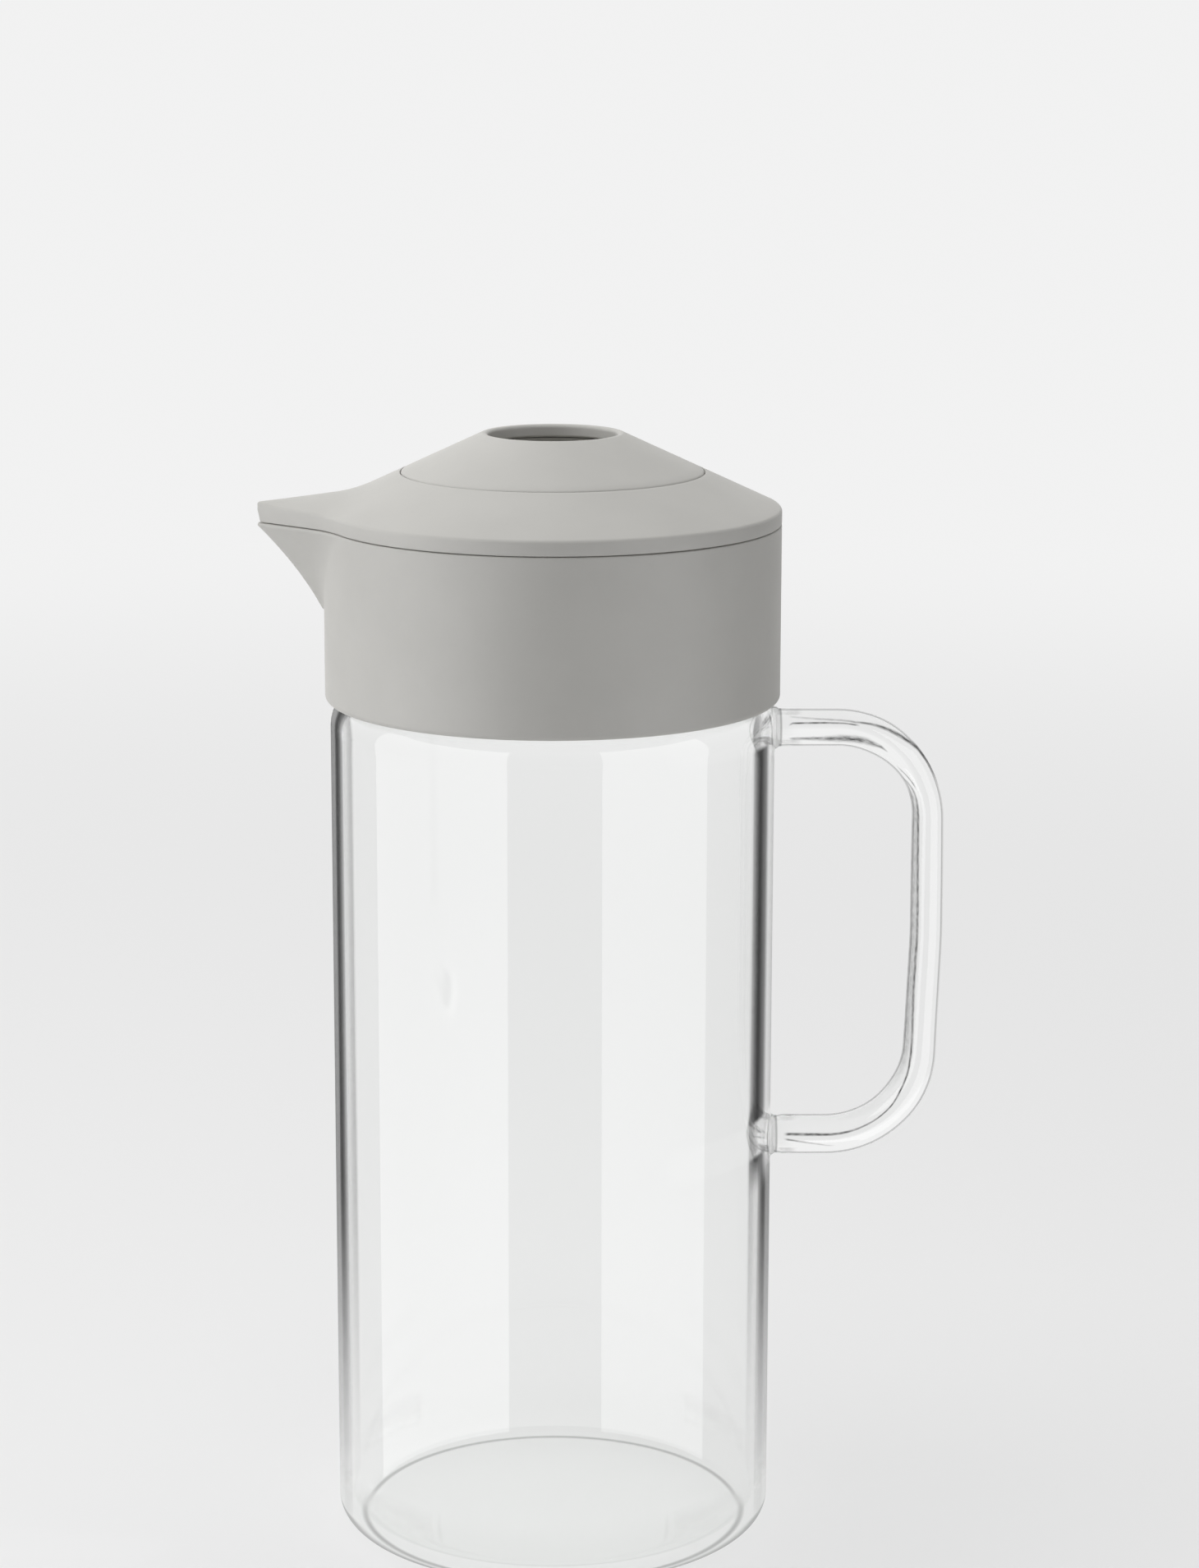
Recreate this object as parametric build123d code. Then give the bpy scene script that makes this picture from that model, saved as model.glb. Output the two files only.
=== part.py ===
from build123d import *
import math
import os

# Serving jug: clear glass jar with a rod handle, and a lid of collar, cover and centre cap.
# The collar carries a strainer deck with a gasket, and the cover carries a filling throat.
# Lengths are millimetres and angles degrees. The origin is on the jar's axis, on the face that
# it stands on. +Z is up, the beak spout points to -X and the handle to +X.

# Glass jar
jar_radius = 53.8
jar_wall = 3.0
jar_floor = 3.6
base_corner = 5.5
floor_corner = 3.2
shoulder_z = 201.7
shoulder_radius = 10.0
shoulder_turn = 60.0
neck_blend = 6.0
neck_height = 33.3
rim_round = 1.3

# Rod handle: its bars are level, its grip leans a little, and the rod flattens where it bends
handle_drop = 1.05
handle_span = 102.9
grip_reach = 37.6
grip_bow = 0.3
grip_bow_drop = 52.0
grip_lean = 1.7
top_bend = 23.5
bow_bend = 120.0
low_bend = 23.0
rod_radius = 4.55
rod_place_shares = (0.0, 0.12, 0.31, 0.46, 0.60, 0.78, 0.90, 1.0)
rod_depth_shares = (1.0, 0.99, 0.82, 0.87, 0.88, 1.04, 1.08, 1.08)
rod_sections = 17
weld_radius = 6.1
weld_step = 0.6
weld_length = 2.4
dimple_radius = 7.0
dimple_depth = 2.4

# Fits
part_gap = 0.3
seam_gap = 0.35
cap_seam = 0.4
overrun = 2.0

# Collar
collar_step = 1.2
collar_foot = 6.7
collar_wall = 2.4
collar_corner = 1.2
foot_land_width = 0.9
foot_land_height = 2.6
deck_ledge_width = 1.6
deck_ledge_height = 1.8
chamber_height = 12.4

# Strainer deck, pressed into the collar, with the plug ring that carries the gasket
deck_thickness = 2.2
plug_depth = 12.4
plug_wall = 2.2
plug_lip = 0.9
plug_lip_height = 1.2
slot_count = 9
slot_length = 5.5
slot_width = 2.4
slot_pitch_angle = 11.0
slot_margin = 1.0
vent_count = 3

# Gasket in the neck
gasket_flange = 1.2
gasket_wall = 0.9
gasket_lips = 3
lip_height = 1.0
lip_first_drop = 2.2
lip_pitch = 2.8

# Beak spout
beak_reach = 15.7
beak_depth = 20.2
beak_lip = 0.7
beak_half_angle = 41.0
beak_tip_radius = 1.4
beak_blend = 30.0
beak_wall = 2.0
beak_level_shares = (0.0, 0.34, 0.67, 1.0)
beak_reach_shares = (1.0, 0.61, 0.29, 0.03)
trough_levels = 3
beak_inner_tip_share = 0.25
mouth_width = 1.8
mouth_height = 3.4

# Cover
band_height = 3.4
cone_slope = 25.15
cover_wall = 2.2
locator_wall = 1.6
locator_depth = 3.5
ledge_drop = 2.6
ledge_thickness = 2.0
ridge_nose_rise = 1.3
ridge_foot_rise = 3.9
ridge_foot_inset = 9.0

# Filling throat and its seal
throat_wall = 1.8
throat_below_deck = 1.5
throat_lip_width = 1.4
throat_lip_height = 1.6
seal_flange_width = 2.6
seal_flange_thickness = 1.4
throat_seal_height = 2.2

# Centre cap and finger well
cap_inset = 18.8
cap_wall = 2.2
finger_overhang = 3.7
finger_lip_depth = 2.9
finger_land = 1.4
finger_round = 0.9
well_gap = 2.8
well_wall = 1.8
well_floor_thickness = 2.0
well_depth = 20.5
plug_flange_drop = 3.0
plug_flange_thickness = 2.0
plug_skirt_wall = 1.9
cap_plug_gap = 0.9
seal_groove_depth = 0.8
seal_groove_height = 2.4
seal_groove_drop = 3.2
seal_round = 0.6

# Worked out from the sizes above
cone_rise = math.tan(math.radians(cone_slope))
neck_radius = jar_radius - (shoulder_radius + neck_blend) * (1 - math.cos(math.radians(shoulder_turn)))
neck_bore = neck_radius - jar_wall
rim_z = shoulder_z + neck_height
collar_radius = jar_radius + collar_step
collar_bore = collar_radius - collar_wall
collar_bottom = shoulder_z + collar_foot
deck_bottom = rim_z + part_gap + gasket_flange
deck_top = deck_bottom + deck_thickness
seam_z = deck_top + chamber_height
cover_bottom = seam_z + seam_gap / 2
collar_top = seam_z - seam_gap / 2
band_top = cover_bottom + band_height
lip_radius = neck_bore - part_gap
gasket_bore = lip_radius - gasket_wall - plug_lip
slot_radius = gasket_bore - plug_wall - slot_margin - slot_length / 2
throat_radius = slot_radius - slot_length / 2 - slot_margin - seal_flange_width
throat_bore = throat_radius - throat_wall
plug_radius = throat_bore - cap_plug_gap
well_bore = plug_radius - plug_skirt_wall - well_gap - well_wall
finger_hole = well_bore - finger_overhang
cap_radius = collar_radius - cap_inset
opening_radius = cap_radius + cap_seam
top_bar_z = shoulder_z - handle_drop
low_bar_z = top_bar_z - handle_span
grip_x = jar_radius + grip_reach


def cone_z(radius):
    """Height of the lid's conical surface at a radius."""
    return band_top + (collar_radius - radius) * cone_rise


ledge_top = cone_z(opening_radius) - ledge_drop
cap_top_radius = finger_hole + finger_land
cap_top = cone_z(cap_top_radius)
cap_wall_drop = cap_wall / math.cos(math.radians(cone_slope))


def cap_under_z(radius):
    """Height of the centre cap's conical underside at a radius."""
    return cone_z(radius) - cap_wall_drop


def tube(outer, inner, low, high):
    """Upright ring between two radii and two heights."""
    ring = Cylinder(outer, high - low, align=(Align.CENTER, Align.CENTER, Align.MIN))
    hole = Cylinder(inner, high - low, align=(Align.CENTER, Align.CENTER, Align.MIN))
    return Pos(0, 0, low) * (ring - hole)


def disc(radius, low, high):
    """Upright disc between two heights."""
    return Pos(0, 0, low) * Cylinder(radius, high - low, align=(Align.CENTER, Align.CENTER, Align.MIN))


def turned(points):
    """Solid turned about the jar's axis from the (radius, height) points of its half section."""
    outline = Plane.XZ * make_face(Polyline(*points, close=True))
    return revolve(outline, Axis.Z)


def jar_form(inset, floor, corner, top):
    """Solid of revolution inside the jar's outline, set in from it by a distance."""
    radius = jar_radius - inset
    turn = math.radians(shoulder_turn)
    shoulder = shoulder_radius - inset
    blend = neck_blend + inset
    neck = radius - (shoulder + blend) * (1 - math.cos(turn))
    joint_x = radius - shoulder * (1 - math.cos(turn))
    joint_z = shoulder_z + shoulder * math.sin(turn)
    neck_z = joint_z + blend * math.sin(turn)
    base_line = Line((0, floor), (radius - corner, floor))
    corner_arc = RadiusArc((radius - corner, floor), (radius, floor + corner), -corner)
    wall_line = Line((radius, floor + corner), (radius, shoulder_z))
    shoulder_arc = RadiusArc((radius, shoulder_z), (joint_x, joint_z), -shoulder)
    blend_arc = RadiusArc((joint_x, joint_z), (neck, neck_z), blend)
    neck_line = Line((neck, neck_z), (neck, top))
    top_line = Line((neck, top), (0, top))
    axis_line = Line((0, top), (0, floor))
    edges = [base_line, corner_arc, wall_line, shoulder_arc, blend_arc, neck_line, top_line, axis_line]
    return revolve(Plane.XZ * make_face(edges), Axis.Z)


def make_glass_jar():
    """Jar with an even wall, a thick floor and the dimples that the handle's welds leave inside."""
    outside = jar_form(0, 0, base_corner, rim_z)
    inside = jar_form(jar_wall, jar_floor, floor_corner, rim_z + overrun)
    shell = outside - inside
    rim_edges = shell.edges().filter_by(GeomType.CIRCLE).group_by(Axis.Z)[-1]
    shell = fillet(rim_edges, rim_round)
    ball = (dimple_radius ** 2 + dimple_depth ** 2) / (2 * dimple_depth)
    ball_x = jar_radius - jar_wall - dimple_depth + ball
    for z in (top_bar_z, low_bar_z):
        dimple = Pos(ball_x, 0, z) * Sphere(ball)
        shell = shell + (dimple & outside)
    return shell


def handle_path():
    """Centre line of the rod, from inside the upper weld round to the lower one."""
    start_x = jar_radius - jar_wall - overrun
    corners = [
        (start_x, 0, top_bar_z),
        (grip_x, 0, top_bar_z),
        (grip_x + grip_bow, 0, top_bar_z - grip_bow_drop),
        (grip_x - grip_lean, 0, low_bar_z),
        (start_x, 0, low_bar_z),
    ]
    return FilletPolyline(*corners, radius=[top_bend, bow_bend, low_bend])


def rod_depth_share(place):
    """How deep the rod is at a place along it, as a share of its plain radius."""
    steps = list(zip(rod_place_shares, rod_depth_shares))
    for (low, low_share), (high, high_share) in zip(steps, steps[1:]):
        if place <= high:
            return low_share + (high_share - low_share) * (place - low) / (high - low)
    return rod_depth_shares[-1]


def make_glass_handle():
    """Rod lofted through ovals along its line, with a flare where each end is welded to the jar."""
    path = handle_path()
    sections = []
    for i in range(rod_sections):
        place = i / (rod_sections - 1)
        depth = rod_depth_share(place)
        spot = Plane(origin=path @ place, x_dir=(0, 1, 0), z_dir=path % place)
        sections.append(spot * Ellipse(rod_radius / math.sqrt(depth), rod_radius * depth))
    rod = loft(sections)
    for z in (top_bar_z, low_bar_z):
        spot = Plane(origin=(jar_radius - jar_wall, 0, z), x_dir=(0, 1, 0), z_dir=(1, 0, 0))
        flare = spot * Cone(weld_radius, rod_radius + weld_step, jar_wall + weld_length,
                            align=(Align.CENTER, Align.CENTER, Align.MIN))
        rod = rod + flare
    return rod - disc(jar_radius, 0, rim_z)


def beak_points(share, inset):
    """Points of the beak's outline on its +Y side, for a share of its reach and a wall inset."""
    slant = math.radians(beak_half_angle)
    along = Vector(math.cos(slant), math.sin(slant))
    out = Vector(-math.sin(slant), math.cos(slant))
    outer_tip = beak_tip_radius * share
    tip_radius = max(outer_tip - inset, outer_tip * beak_inner_tip_share)
    shift = (inset + tip_radius - outer_tip) / math.sin(slant)
    centre = Vector(outer_tip - collar_radius - beak_reach * share + shift, 0)
    blend = beak_blend * share + inset
    circle = collar_radius - inset
    start = centre + out * (tip_radius + blend)
    drop = start.dot(along)
    run = -drop - math.sqrt(drop ** 2 - start.dot(start) + (circle + blend) ** 2)
    blend_centre = start + along * run
    line_start = centre + out * tip_radius
    line_end = blend_centre - out * blend
    circle_end = blend_centre * (circle / (circle + blend))
    middle = blend_centre + ((line_end + circle_end) * 0.5 - blend_centre).normalized() * blend
    return centre - Vector(tip_radius, 0), line_start, line_end, middle, circle_end


def mirrored(point):
    """The same point on the other side of the beak's keel."""
    return Vector(point.X, -point.Y)


def beak_edges(points):
    """Hollow blends, straight sides and tip arc of the beak's outline, in order."""
    tip, line_start, line_end, middle, circle_end = points
    return [
        ThreePointArc(circle_end, middle, line_end),
        Line(line_end, line_start),
        ThreePointArc(line_start, tip, mirrored(line_start)),
        Line(mirrored(line_start), mirrored(line_end)),
        ThreePointArc(mirrored(line_end), mirrored(middle), mirrored(circle_end)),
    ]


def lid_prism(inset, low, high):
    """Upright solid inside the outline that collar and cover share: a circle drawn out to a beak."""
    points = beak_points(1, inset)
    round_side = ThreePointArc(mirrored(points[-1]), (collar_radius - inset, 0), points[-1])
    face = make_face(beak_edges(points) + [round_side])
    return Pos(0, 0, low) * extrude(face, high - low)


def beak_wedge(inset, levels):
    """Beak under its lip: the outline shrinks down the keel, level by level, towards the collar."""
    faces = []
    for level, share in list(zip(beak_level_shares, beak_reach_shares))[:levels]:
        points = beak_points(share, inset)
        chord = Line(mirrored(points[-1]), points[-1])
        height = collar_top - beak_lip - (beak_depth - beak_lip) * level
        faces.append(Pos(0, 0, height) * make_face(beak_edges(points) + [chord]))
    return loft(faces)


def radial_slots(count, middle_angle, low, high):
    """Row of round-ended slots that point at the axis, to cut through the deck."""
    cutter = Pos(0, 0, low) * extrude(SlotOverall(slot_length, slot_width), high - low)
    slots = []
    for i in range(count):
        angle = middle_angle + (i - (count - 1) / 2) * slot_pitch_angle
        slots.append(Rot(0, 0, angle) * Pos(slot_radius, 0, 0) * cutter)
    return slots


def make_collar():
    """Skirt with the beak's trough, a foot that centres it on the jar and a ledge for the deck."""
    skirt = disc(collar_radius, collar_bottom, collar_top)
    skirt = fillet(skirt.edges().group_by(Axis.Z)[0], collar_corner)
    lip = lid_prism(0, collar_top - beak_lip, collar_top)
    outside = skirt + lip + beak_wedge(0, len(beak_level_shares))
    inside = disc(collar_bore, collar_bottom - overrun, seam_z + overrun)
    inside = inside + lid_prism(beak_wall, collar_top - beak_lip, seam_z + overrun)
    inside = inside + beak_wedge(beak_wall, trough_levels)
    foot = tube(collar_bore, collar_bore - foot_land_width, collar_bottom, collar_bottom + foot_land_height)
    ledge = tube(collar_bore, collar_bore - deck_ledge_width, deck_bottom - deck_ledge_height, deck_bottom)
    return outside - inside + foot + ledge


def make_strainer_deck():
    """Slotted deck over the glass rim, with the lipped plug ring that reaches into the neck."""
    plug_low = deck_bottom - plug_depth
    plug = tube(gasket_bore, gasket_bore - plug_wall, plug_low, deck_bottom)
    lip = tube(gasket_bore + plug_lip, gasket_bore - plug_wall, plug_low, plug_low + plug_lip_height)
    deck = tube(collar_bore, throat_radius + part_gap, deck_bottom, deck_top)
    low, high = deck_bottom - overrun, deck_top + overrun
    slots = radial_slots(slot_count, 180, low, high) + radial_slots(vent_count, 0, low, high)
    return deck + plug + lip - slots


def make_jar_seal():
    """Gasket on the plug ring: a flange over the glass rim, a sleeve and lips towards the neck."""
    flange = tube(neck_radius, gasket_bore, deck_bottom - gasket_flange, deck_bottom)
    sleeve_low = deck_bottom - plug_depth + plug_lip_height
    sleeve = tube(gasket_bore + gasket_wall, gasket_bore, sleeve_low, deck_bottom)
    seal = flange + sleeve
    for i in range(gasket_lips):
        top = deck_bottom - gasket_flange - lip_first_drop - i * lip_pitch
        lip = turned([
            (gasket_bore + gasket_wall / 2, top),
            (lip_radius, top),
            (lip_radius, top - lip_height / 2),
            (gasket_bore + gasket_wall / 2, top - lip_height),
        ])
        ring = lip - disc(gasket_bore, top - lip_height, top)
        seal = seal + ring
    return seal


def roof_form():
    """Crowned roof of the beak: it widens and rises from the nose to the cone."""
    slant = math.radians(beak_half_angle)
    nose_x = -(collar_radius + beak_reach)
    foot_x = -(collar_radius - ridge_foot_inset)
    spread = (foot_x - nose_x) * math.tan(slant)
    sections = []
    for x, half, rise in (
        (nose_x, beak_tip_radius, ridge_nose_rise),
        (foot_x, beak_tip_radius + spread, ridge_foot_rise),
    ):
        crown = ThreePointArc((-half, band_top), (0, band_top + rise), (half, band_top))
        low = cover_bottom - overrun
        sides = Polyline((half, band_top), (half, low), (-half, low), (-half, band_top))
        sections.append(Plane(origin=(x, 0, 0), x_dir=(0, 1, 0), z_dir=(1, 0, 0)) * make_face([crown, sides]))
    return loft(sections)


def lid_top():
    """Solid under the lid's outer surface: the cone, with the beak's roof run into it."""
    low = cover_bottom - overrun
    cone = turned([
        (0, low),
        (collar_radius, low),
        (collar_radius, band_top),
        (cap_top_radius, cap_top),
        (0, cap_top),
    ])
    return cone + roof_form() + lid_prism(0, low, band_top)


def make_cover():
    """Outer ring of the cone with its rim band, beak roof, locating ring and seat for the throat."""
    top = lid_top()
    outline = lid_prism(0, cover_bottom, cap_top)
    hollow = Pos(0, 0, -cover_wall / math.cos(math.radians(cone_slope))) * top
    shell = (top & outline) - (hollow & lid_prism(beak_wall, cover_bottom - overrun, cap_top))
    shell = shell - disc(opening_radius, cover_bottom - overrun, cap_top + overrun)
    ledge_low = ledge_top - ledge_thickness
    wall_radius = opening_radius + cover_wall
    wall = tube(wall_radius, opening_radius, ledge_low - throat_lip_height, cone_z(wall_radius))
    lip = tube(wall_radius, opening_radius - throat_lip_width, ledge_low - throat_lip_height, ledge_low)
    locator_radius = collar_bore - part_gap
    locator = tube(locator_radius, locator_radius - locator_wall, cover_bottom - locator_depth, band_top)
    beak_gap = Pos(-collar_radius, 0, seam_z) * Box(collar_radius, collar_radius, collar_radius)
    mouth_x = -(collar_radius + beak_reach)
    mouth = Pos(mouth_x, 0, cover_bottom + mouth_height / 2 - overrun / 2) * Box(
        beak_reach / 2, mouth_width, mouth_height + overrun)
    return shell + wall + lip + (locator - beak_gap) - mouth


def make_throat():
    """Filling throat: a ledge that the cap stands on, a tube through the deck and a seal flange."""
    ledge = tube(opening_radius, throat_bore, ledge_top - ledge_thickness, ledge_top)
    pipe = tube(throat_radius, throat_bore, deck_bottom - throat_below_deck, ledge_top)
    flange_low = deck_top + part_gap + throat_seal_height
    flange = tube(throat_radius + seal_flange_width, throat_bore, flange_low, flange_low + seal_flange_thickness)
    return ledge + pipe + flange


def make_throat_seal():
    """Ring that the cover's throat presses on the collar's deck."""
    low = deck_top + part_gap
    return tube(throat_radius + seal_flange_width, throat_radius, low, low + throat_seal_height)


def make_cap():
    """Centre of the cone, with the finger hole's rolled lip and an edge that stands on the ledge."""
    edge_low = ledge_top + part_gap
    edge_bore = cap_radius - cap_wall
    lip_low = cap_top - finger_lip_depth
    lip_under = finger_hole + (cap_under_z(finger_hole) - lip_low) / cone_rise
    body = turned([
        (finger_hole, cap_top),
        (cap_top_radius, cap_top),
        (cap_radius, cone_z(cap_radius)),
        (cap_radius, edge_low),
        (edge_bore, edge_low),
        (edge_bore, cap_under_z(edge_bore)),
        (lip_under, lip_low),
        (finger_hole, lip_low),
    ])
    rim_edges = body.edges().group_by(Axis.Z)[-1]
    return fillet(rim_edges, finger_round)


def make_cap_well():
    """Closed finger well under the cap, with the plug that fills the throat and carries its seal."""
    floor_top = cap_top - well_depth
    low = floor_top - well_floor_thickness
    radius = well_bore + well_wall
    flange_top = ledge_top - plug_flange_drop
    flange_low = flange_top - plug_flange_thickness
    groove_top = flange_top - seal_groove_drop
    groove_low = groove_top - seal_groove_height
    return turned([
        (0, low),
        (radius, low),
        (radius, flange_low),
        (plug_radius - plug_skirt_wall, flange_low),
        (plug_radius - plug_skirt_wall, low),
        (plug_radius, low),
        (plug_radius, groove_low),
        (plug_radius - seal_groove_depth, groove_low),
        (plug_radius - seal_groove_depth, groove_top),
        (plug_radius, groove_top),
        (plug_radius, flange_top),
        (radius, flange_top),
        (radius, cap_under_z(radius)),
        (well_bore, cap_under_z(well_bore)),
        (well_bore, floor_top),
        (0, floor_top),
    ])


def make_cap_seal():
    """Silicone ring in the plug's groove."""
    bore = plug_radius - seal_groove_depth
    top = ledge_top - plug_flange_drop - seal_groove_drop
    ring = tube(throat_bore - part_gap, bore, top - seal_groove_height, top)
    outer_edges = ring.edges().filter_by(GeomType.CIRCLE).sort_by(lambda e: e.radius)[-2:]
    return fillet(outer_edges, seal_round)


def main():
    """Build every piece and write it as its own STEP file."""
    pieces = {
        "glass_jar": make_glass_jar(),
        "glass_handle": make_glass_handle(),
        "collar": make_collar(),
        "strainer_deck": make_strainer_deck(),
        "jar_seal": make_jar_seal(),
        "cover": make_cover(),
        "throat": make_throat(),
        "throat_seal": make_throat_seal(),
        "cap": make_cap(),
        "cap_well": make_cap_well(),
        "cap_seal": make_cap_seal(),
    }
    os.makedirs("parts", exist_ok=True)
    for name, piece in pieces.items():
        export_step(piece, os.path.join("parts", name + ".step"))
        box = piece.bounding_box()
        print(name, round(piece.volume), "mm3, z", round(box.min.Z, 2), "to", round(box.max.Z, 2))


if __name__ == "__main__":
    main()
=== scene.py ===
import bmesh
import bpy
import math
from bpy.props import FloatProperty, FloatVectorProperty, IntProperty, PointerProperty
from mathutils import Matrix, Vector


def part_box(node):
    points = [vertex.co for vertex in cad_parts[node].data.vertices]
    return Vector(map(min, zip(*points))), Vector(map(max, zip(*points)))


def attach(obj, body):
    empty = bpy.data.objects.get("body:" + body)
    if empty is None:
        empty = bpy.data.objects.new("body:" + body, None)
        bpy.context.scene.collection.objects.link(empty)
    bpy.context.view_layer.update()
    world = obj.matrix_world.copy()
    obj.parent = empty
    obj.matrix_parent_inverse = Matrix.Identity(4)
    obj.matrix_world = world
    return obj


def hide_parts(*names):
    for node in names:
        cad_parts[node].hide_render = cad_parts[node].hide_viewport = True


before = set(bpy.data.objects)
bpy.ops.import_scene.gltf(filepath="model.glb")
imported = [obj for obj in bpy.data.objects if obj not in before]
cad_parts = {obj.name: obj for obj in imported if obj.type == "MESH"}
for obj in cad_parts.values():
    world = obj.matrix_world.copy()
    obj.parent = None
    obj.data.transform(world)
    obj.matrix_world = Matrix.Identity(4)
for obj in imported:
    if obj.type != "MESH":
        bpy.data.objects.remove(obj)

bl_info = {
    "name": "Serving jug",
    "version": (1, 0, 0),
    "blender": (4, 5, 0),
    "location": "View3D > Sidebar > Jug",
    "description": "Clear glass jug with a rod handle and a matte lid, on a pale studio floor",
    "category": "Object",
}

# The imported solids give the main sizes, so that the finished pieces stay where the solids are
JAR_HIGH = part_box("glass_jar")[1]
COLLAR_LOW, COLLAR_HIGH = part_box("collar")
COVER_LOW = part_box("cover")[0]
CAP_LOW, CAP_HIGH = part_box("cap")
WELL_LOW, WELL_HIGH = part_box("cap_well")
# The cover rests this far above the collar's solid, and this is its rim band's height
SEAT_GAP = 0.00035
RIM_BAND = 0.0034
COVER_SEAT = COLLAR_HIGH.z + SEAT_GAP
BAND_TOP = COVER_SEAT + RIM_BAND
# Edges of the lid's pieces that turn by more than this many degrees stay sharp
SHARP_EDGES = 38


def length(name, text, value):
    """A length of the jug, in metres."""
    return FloatProperty(name=name, description=text, default=value, precision=5,
                         unit="LENGTH", subtype="DISTANCE")


def turn(name, text, degrees):
    """An angle of the jug, given in degrees."""
    return FloatProperty(name=name, description=text, default=math.radians(degrees),
                         unit="ROTATION", subtype="ANGLE")


def tint(name, text, value):
    """A colour of the jug."""
    return FloatVectorProperty(name=name, description=text, default=value, size=len(value),
                               subtype="COLOR", min=0.0, max=1.0)


class JugSizes(bpy.types.PropertyGroup):
    """Sizes of the jug's pieces."""

    jar_radius: length("Jar radius", "Outside radius of the glass wall", JAR_HIGH.y)
    jar_wall: length("Jar wall", "Thickness of the glass wall", 0.0030)
    jar_floor: length("Jar floor", "Thickness of the glass floor", 0.0036)
    base_corner: length("Base corner", "Outside rounding at the foot of the jar", 0.0055)
    floor_corner: length("Floor corner", "Inside rounding at the jar's floor", 0.0042)
    shoulder_height: length("Shoulder height", "Where the wall starts to turn in", 0.2017)
    shoulder_radius: length("Shoulder rounding", "Outside rounding of the shoulder", 0.0100)
    neck_blend: length("Neck rounding", "Hollow rounding from shoulder to neck", 0.0060)
    rim_round: length("Rim rounding", "Rounding of the jar's rim", 0.0013)
    handle_high: length("Upper bar", "Height of the handle's upper bar", 0.20065)
    handle_low: length("Lower bar", "Height of the handle's lower bar", 0.09775)
    handle_reach: length("Grip place", "How far out the grip's line is", 0.0914)
    rod_radius: length("Rod radius", "Radius of the glass rod", 0.00455)
    segments: IntProperty(name="Segments", description="Steps round the glass", default=240, min=48)
    collar_radius: length("Collar radius", "Outside radius of the collar and cover", COLLAR_HIGH.y)
    collar_wall: length("Collar wall", "Thickness of the collar's wall", 0.0024)
    collar_corner: length("Collar corner", "Rounding of the collar's lower edge", 0.0013)
    seam: length("Lid seam", "Open line between collar and cover", 0.00016)
    beak_reach: length("Beak reach", "How far the beak stands out from the collar", 0.0157)
    beak_depth: length("Beak depth", "How far down the collar the beak's keel runs", 0.0202)
    beak_tip: length("Beak tip", "Rounding of the beak's tip in plan", 0.0014)
    beak_blend: length("Beak hollow", "Hollow rounding from beak to collar", 0.0300)
    beak_half: turn("Beak half angle", "Angle between the beak's side and its keel", 41.0)
    rim_rounding: length("Rim edge", "Rounding of the cover's rim", 0.0006)
    cone_slope: turn("Cone slope", "Slope of the lid's cone", 25.15)
    lid_wall: length("Cover wall", "Thickness of cover and cap", 0.0024)
    opening: length("Opening", "Radius of the cover's opening for the cap", 0.03652)
    cap_radius: length("Cap radius", "Outside radius of the centre cap", 0.03630)
    finger_hole: length("Finger hole", "Radius of the hole in the cap", 0.01550)
    finger_round: length("Finger hole edge", "Rounding of the hole's edges", 0.0009)


class JugColours(bpy.types.PropertyGroup):
    """Colours of the jug and of the floor under it."""

    plastic: tint("Lid plastic", "Moulded matte plastic of the lid", (0.55, 0.542, 0.516))
    silicone: tint("Seals", "Silicone of the seals", (0.72, 0.72, 0.70))
    glass: tint("Glass", "Tint of the clear glass", (0.992, 0.995, 0.992))
    floor: tint("Floor", "Pale studio floor", (0.90, 0.90, 0.90))


def arc(centre_r, centre_z, radius, start, end, steps):
    """Points of an arc in the half section, from one angle to another."""
    points = []
    for i in range(steps + 1):
        angle = math.radians(start + (end - start) * i / steps)
        points.append((centre_r + radius * math.cos(angle), centre_z + radius * math.sin(angle)))
    return points


def spun(bm, points, segments, closed=False):
    """Turns a line of (radius, height) points about the jar's axis."""
    verts = [bm.verts.new((r, 0, z)) for r, z in points]
    pairs = list(zip(verts, verts[1:]))
    if closed:
        pairs.append((verts[-1], verts[0]))
    edges = [bm.edges.new(pair) for pair in pairs]
    bmesh.ops.spin(bm, geom=verts + edges, cent=(0, 0, 0), axis=(0, 0, 1), dvec=(0, 0, 0),
                   angle=2 * math.pi, steps=segments, use_merge=True, use_duplicate=False)


def turn_of(up, across):
    """Angle of a direction from 0 to a full turn, for sorting vertices round a ring."""
    return math.atan2(up, across) % (2 * math.pi - 1e-6)


def next_ring(bm, ring, places, closed=True):
    """Extrudes a ring or an open row of vertices and puts the new ones where they belong."""
    edges = [bm.edges.get(pair) for pair in zip(ring, ring[1:] + ring[:1] if closed else ring[1:])]
    made = bmesh.ops.extrude_edge_only(bm, edges=edges)["geom"]
    new = {v for v in made if isinstance(v, bmesh.types.BMVert)}
    above = [next(e.other_vert(v) for e in v.link_edges if e.other_vert(v) in new) for v in ring]
    for vert, place in zip(above, places):
        vert.co = place
    return above


def closed_up(bm):
    """Merges doubled vertices and turns every face outwards."""
    bmesh.ops.remove_doubles(bm, verts=bm.verts[:], dist=1e-6)
    bmesh.ops.dissolve_degenerate(bm, edges=bm.edges[:], dist=1e-7)
    bmesh.ops.recalc_face_normals(bm, faces=bm.faces[:])


def object_of(bm, name, material):
    """An object in the scene, made of the mesh."""
    mesh = bpy.data.meshes.new(name)
    bm.to_mesh(mesh)
    bm.free()
    mesh.materials.append(material)
    made = bpy.data.objects.new(name, mesh)
    bpy.context.scene.collection.objects.link(made)
    return made


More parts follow.
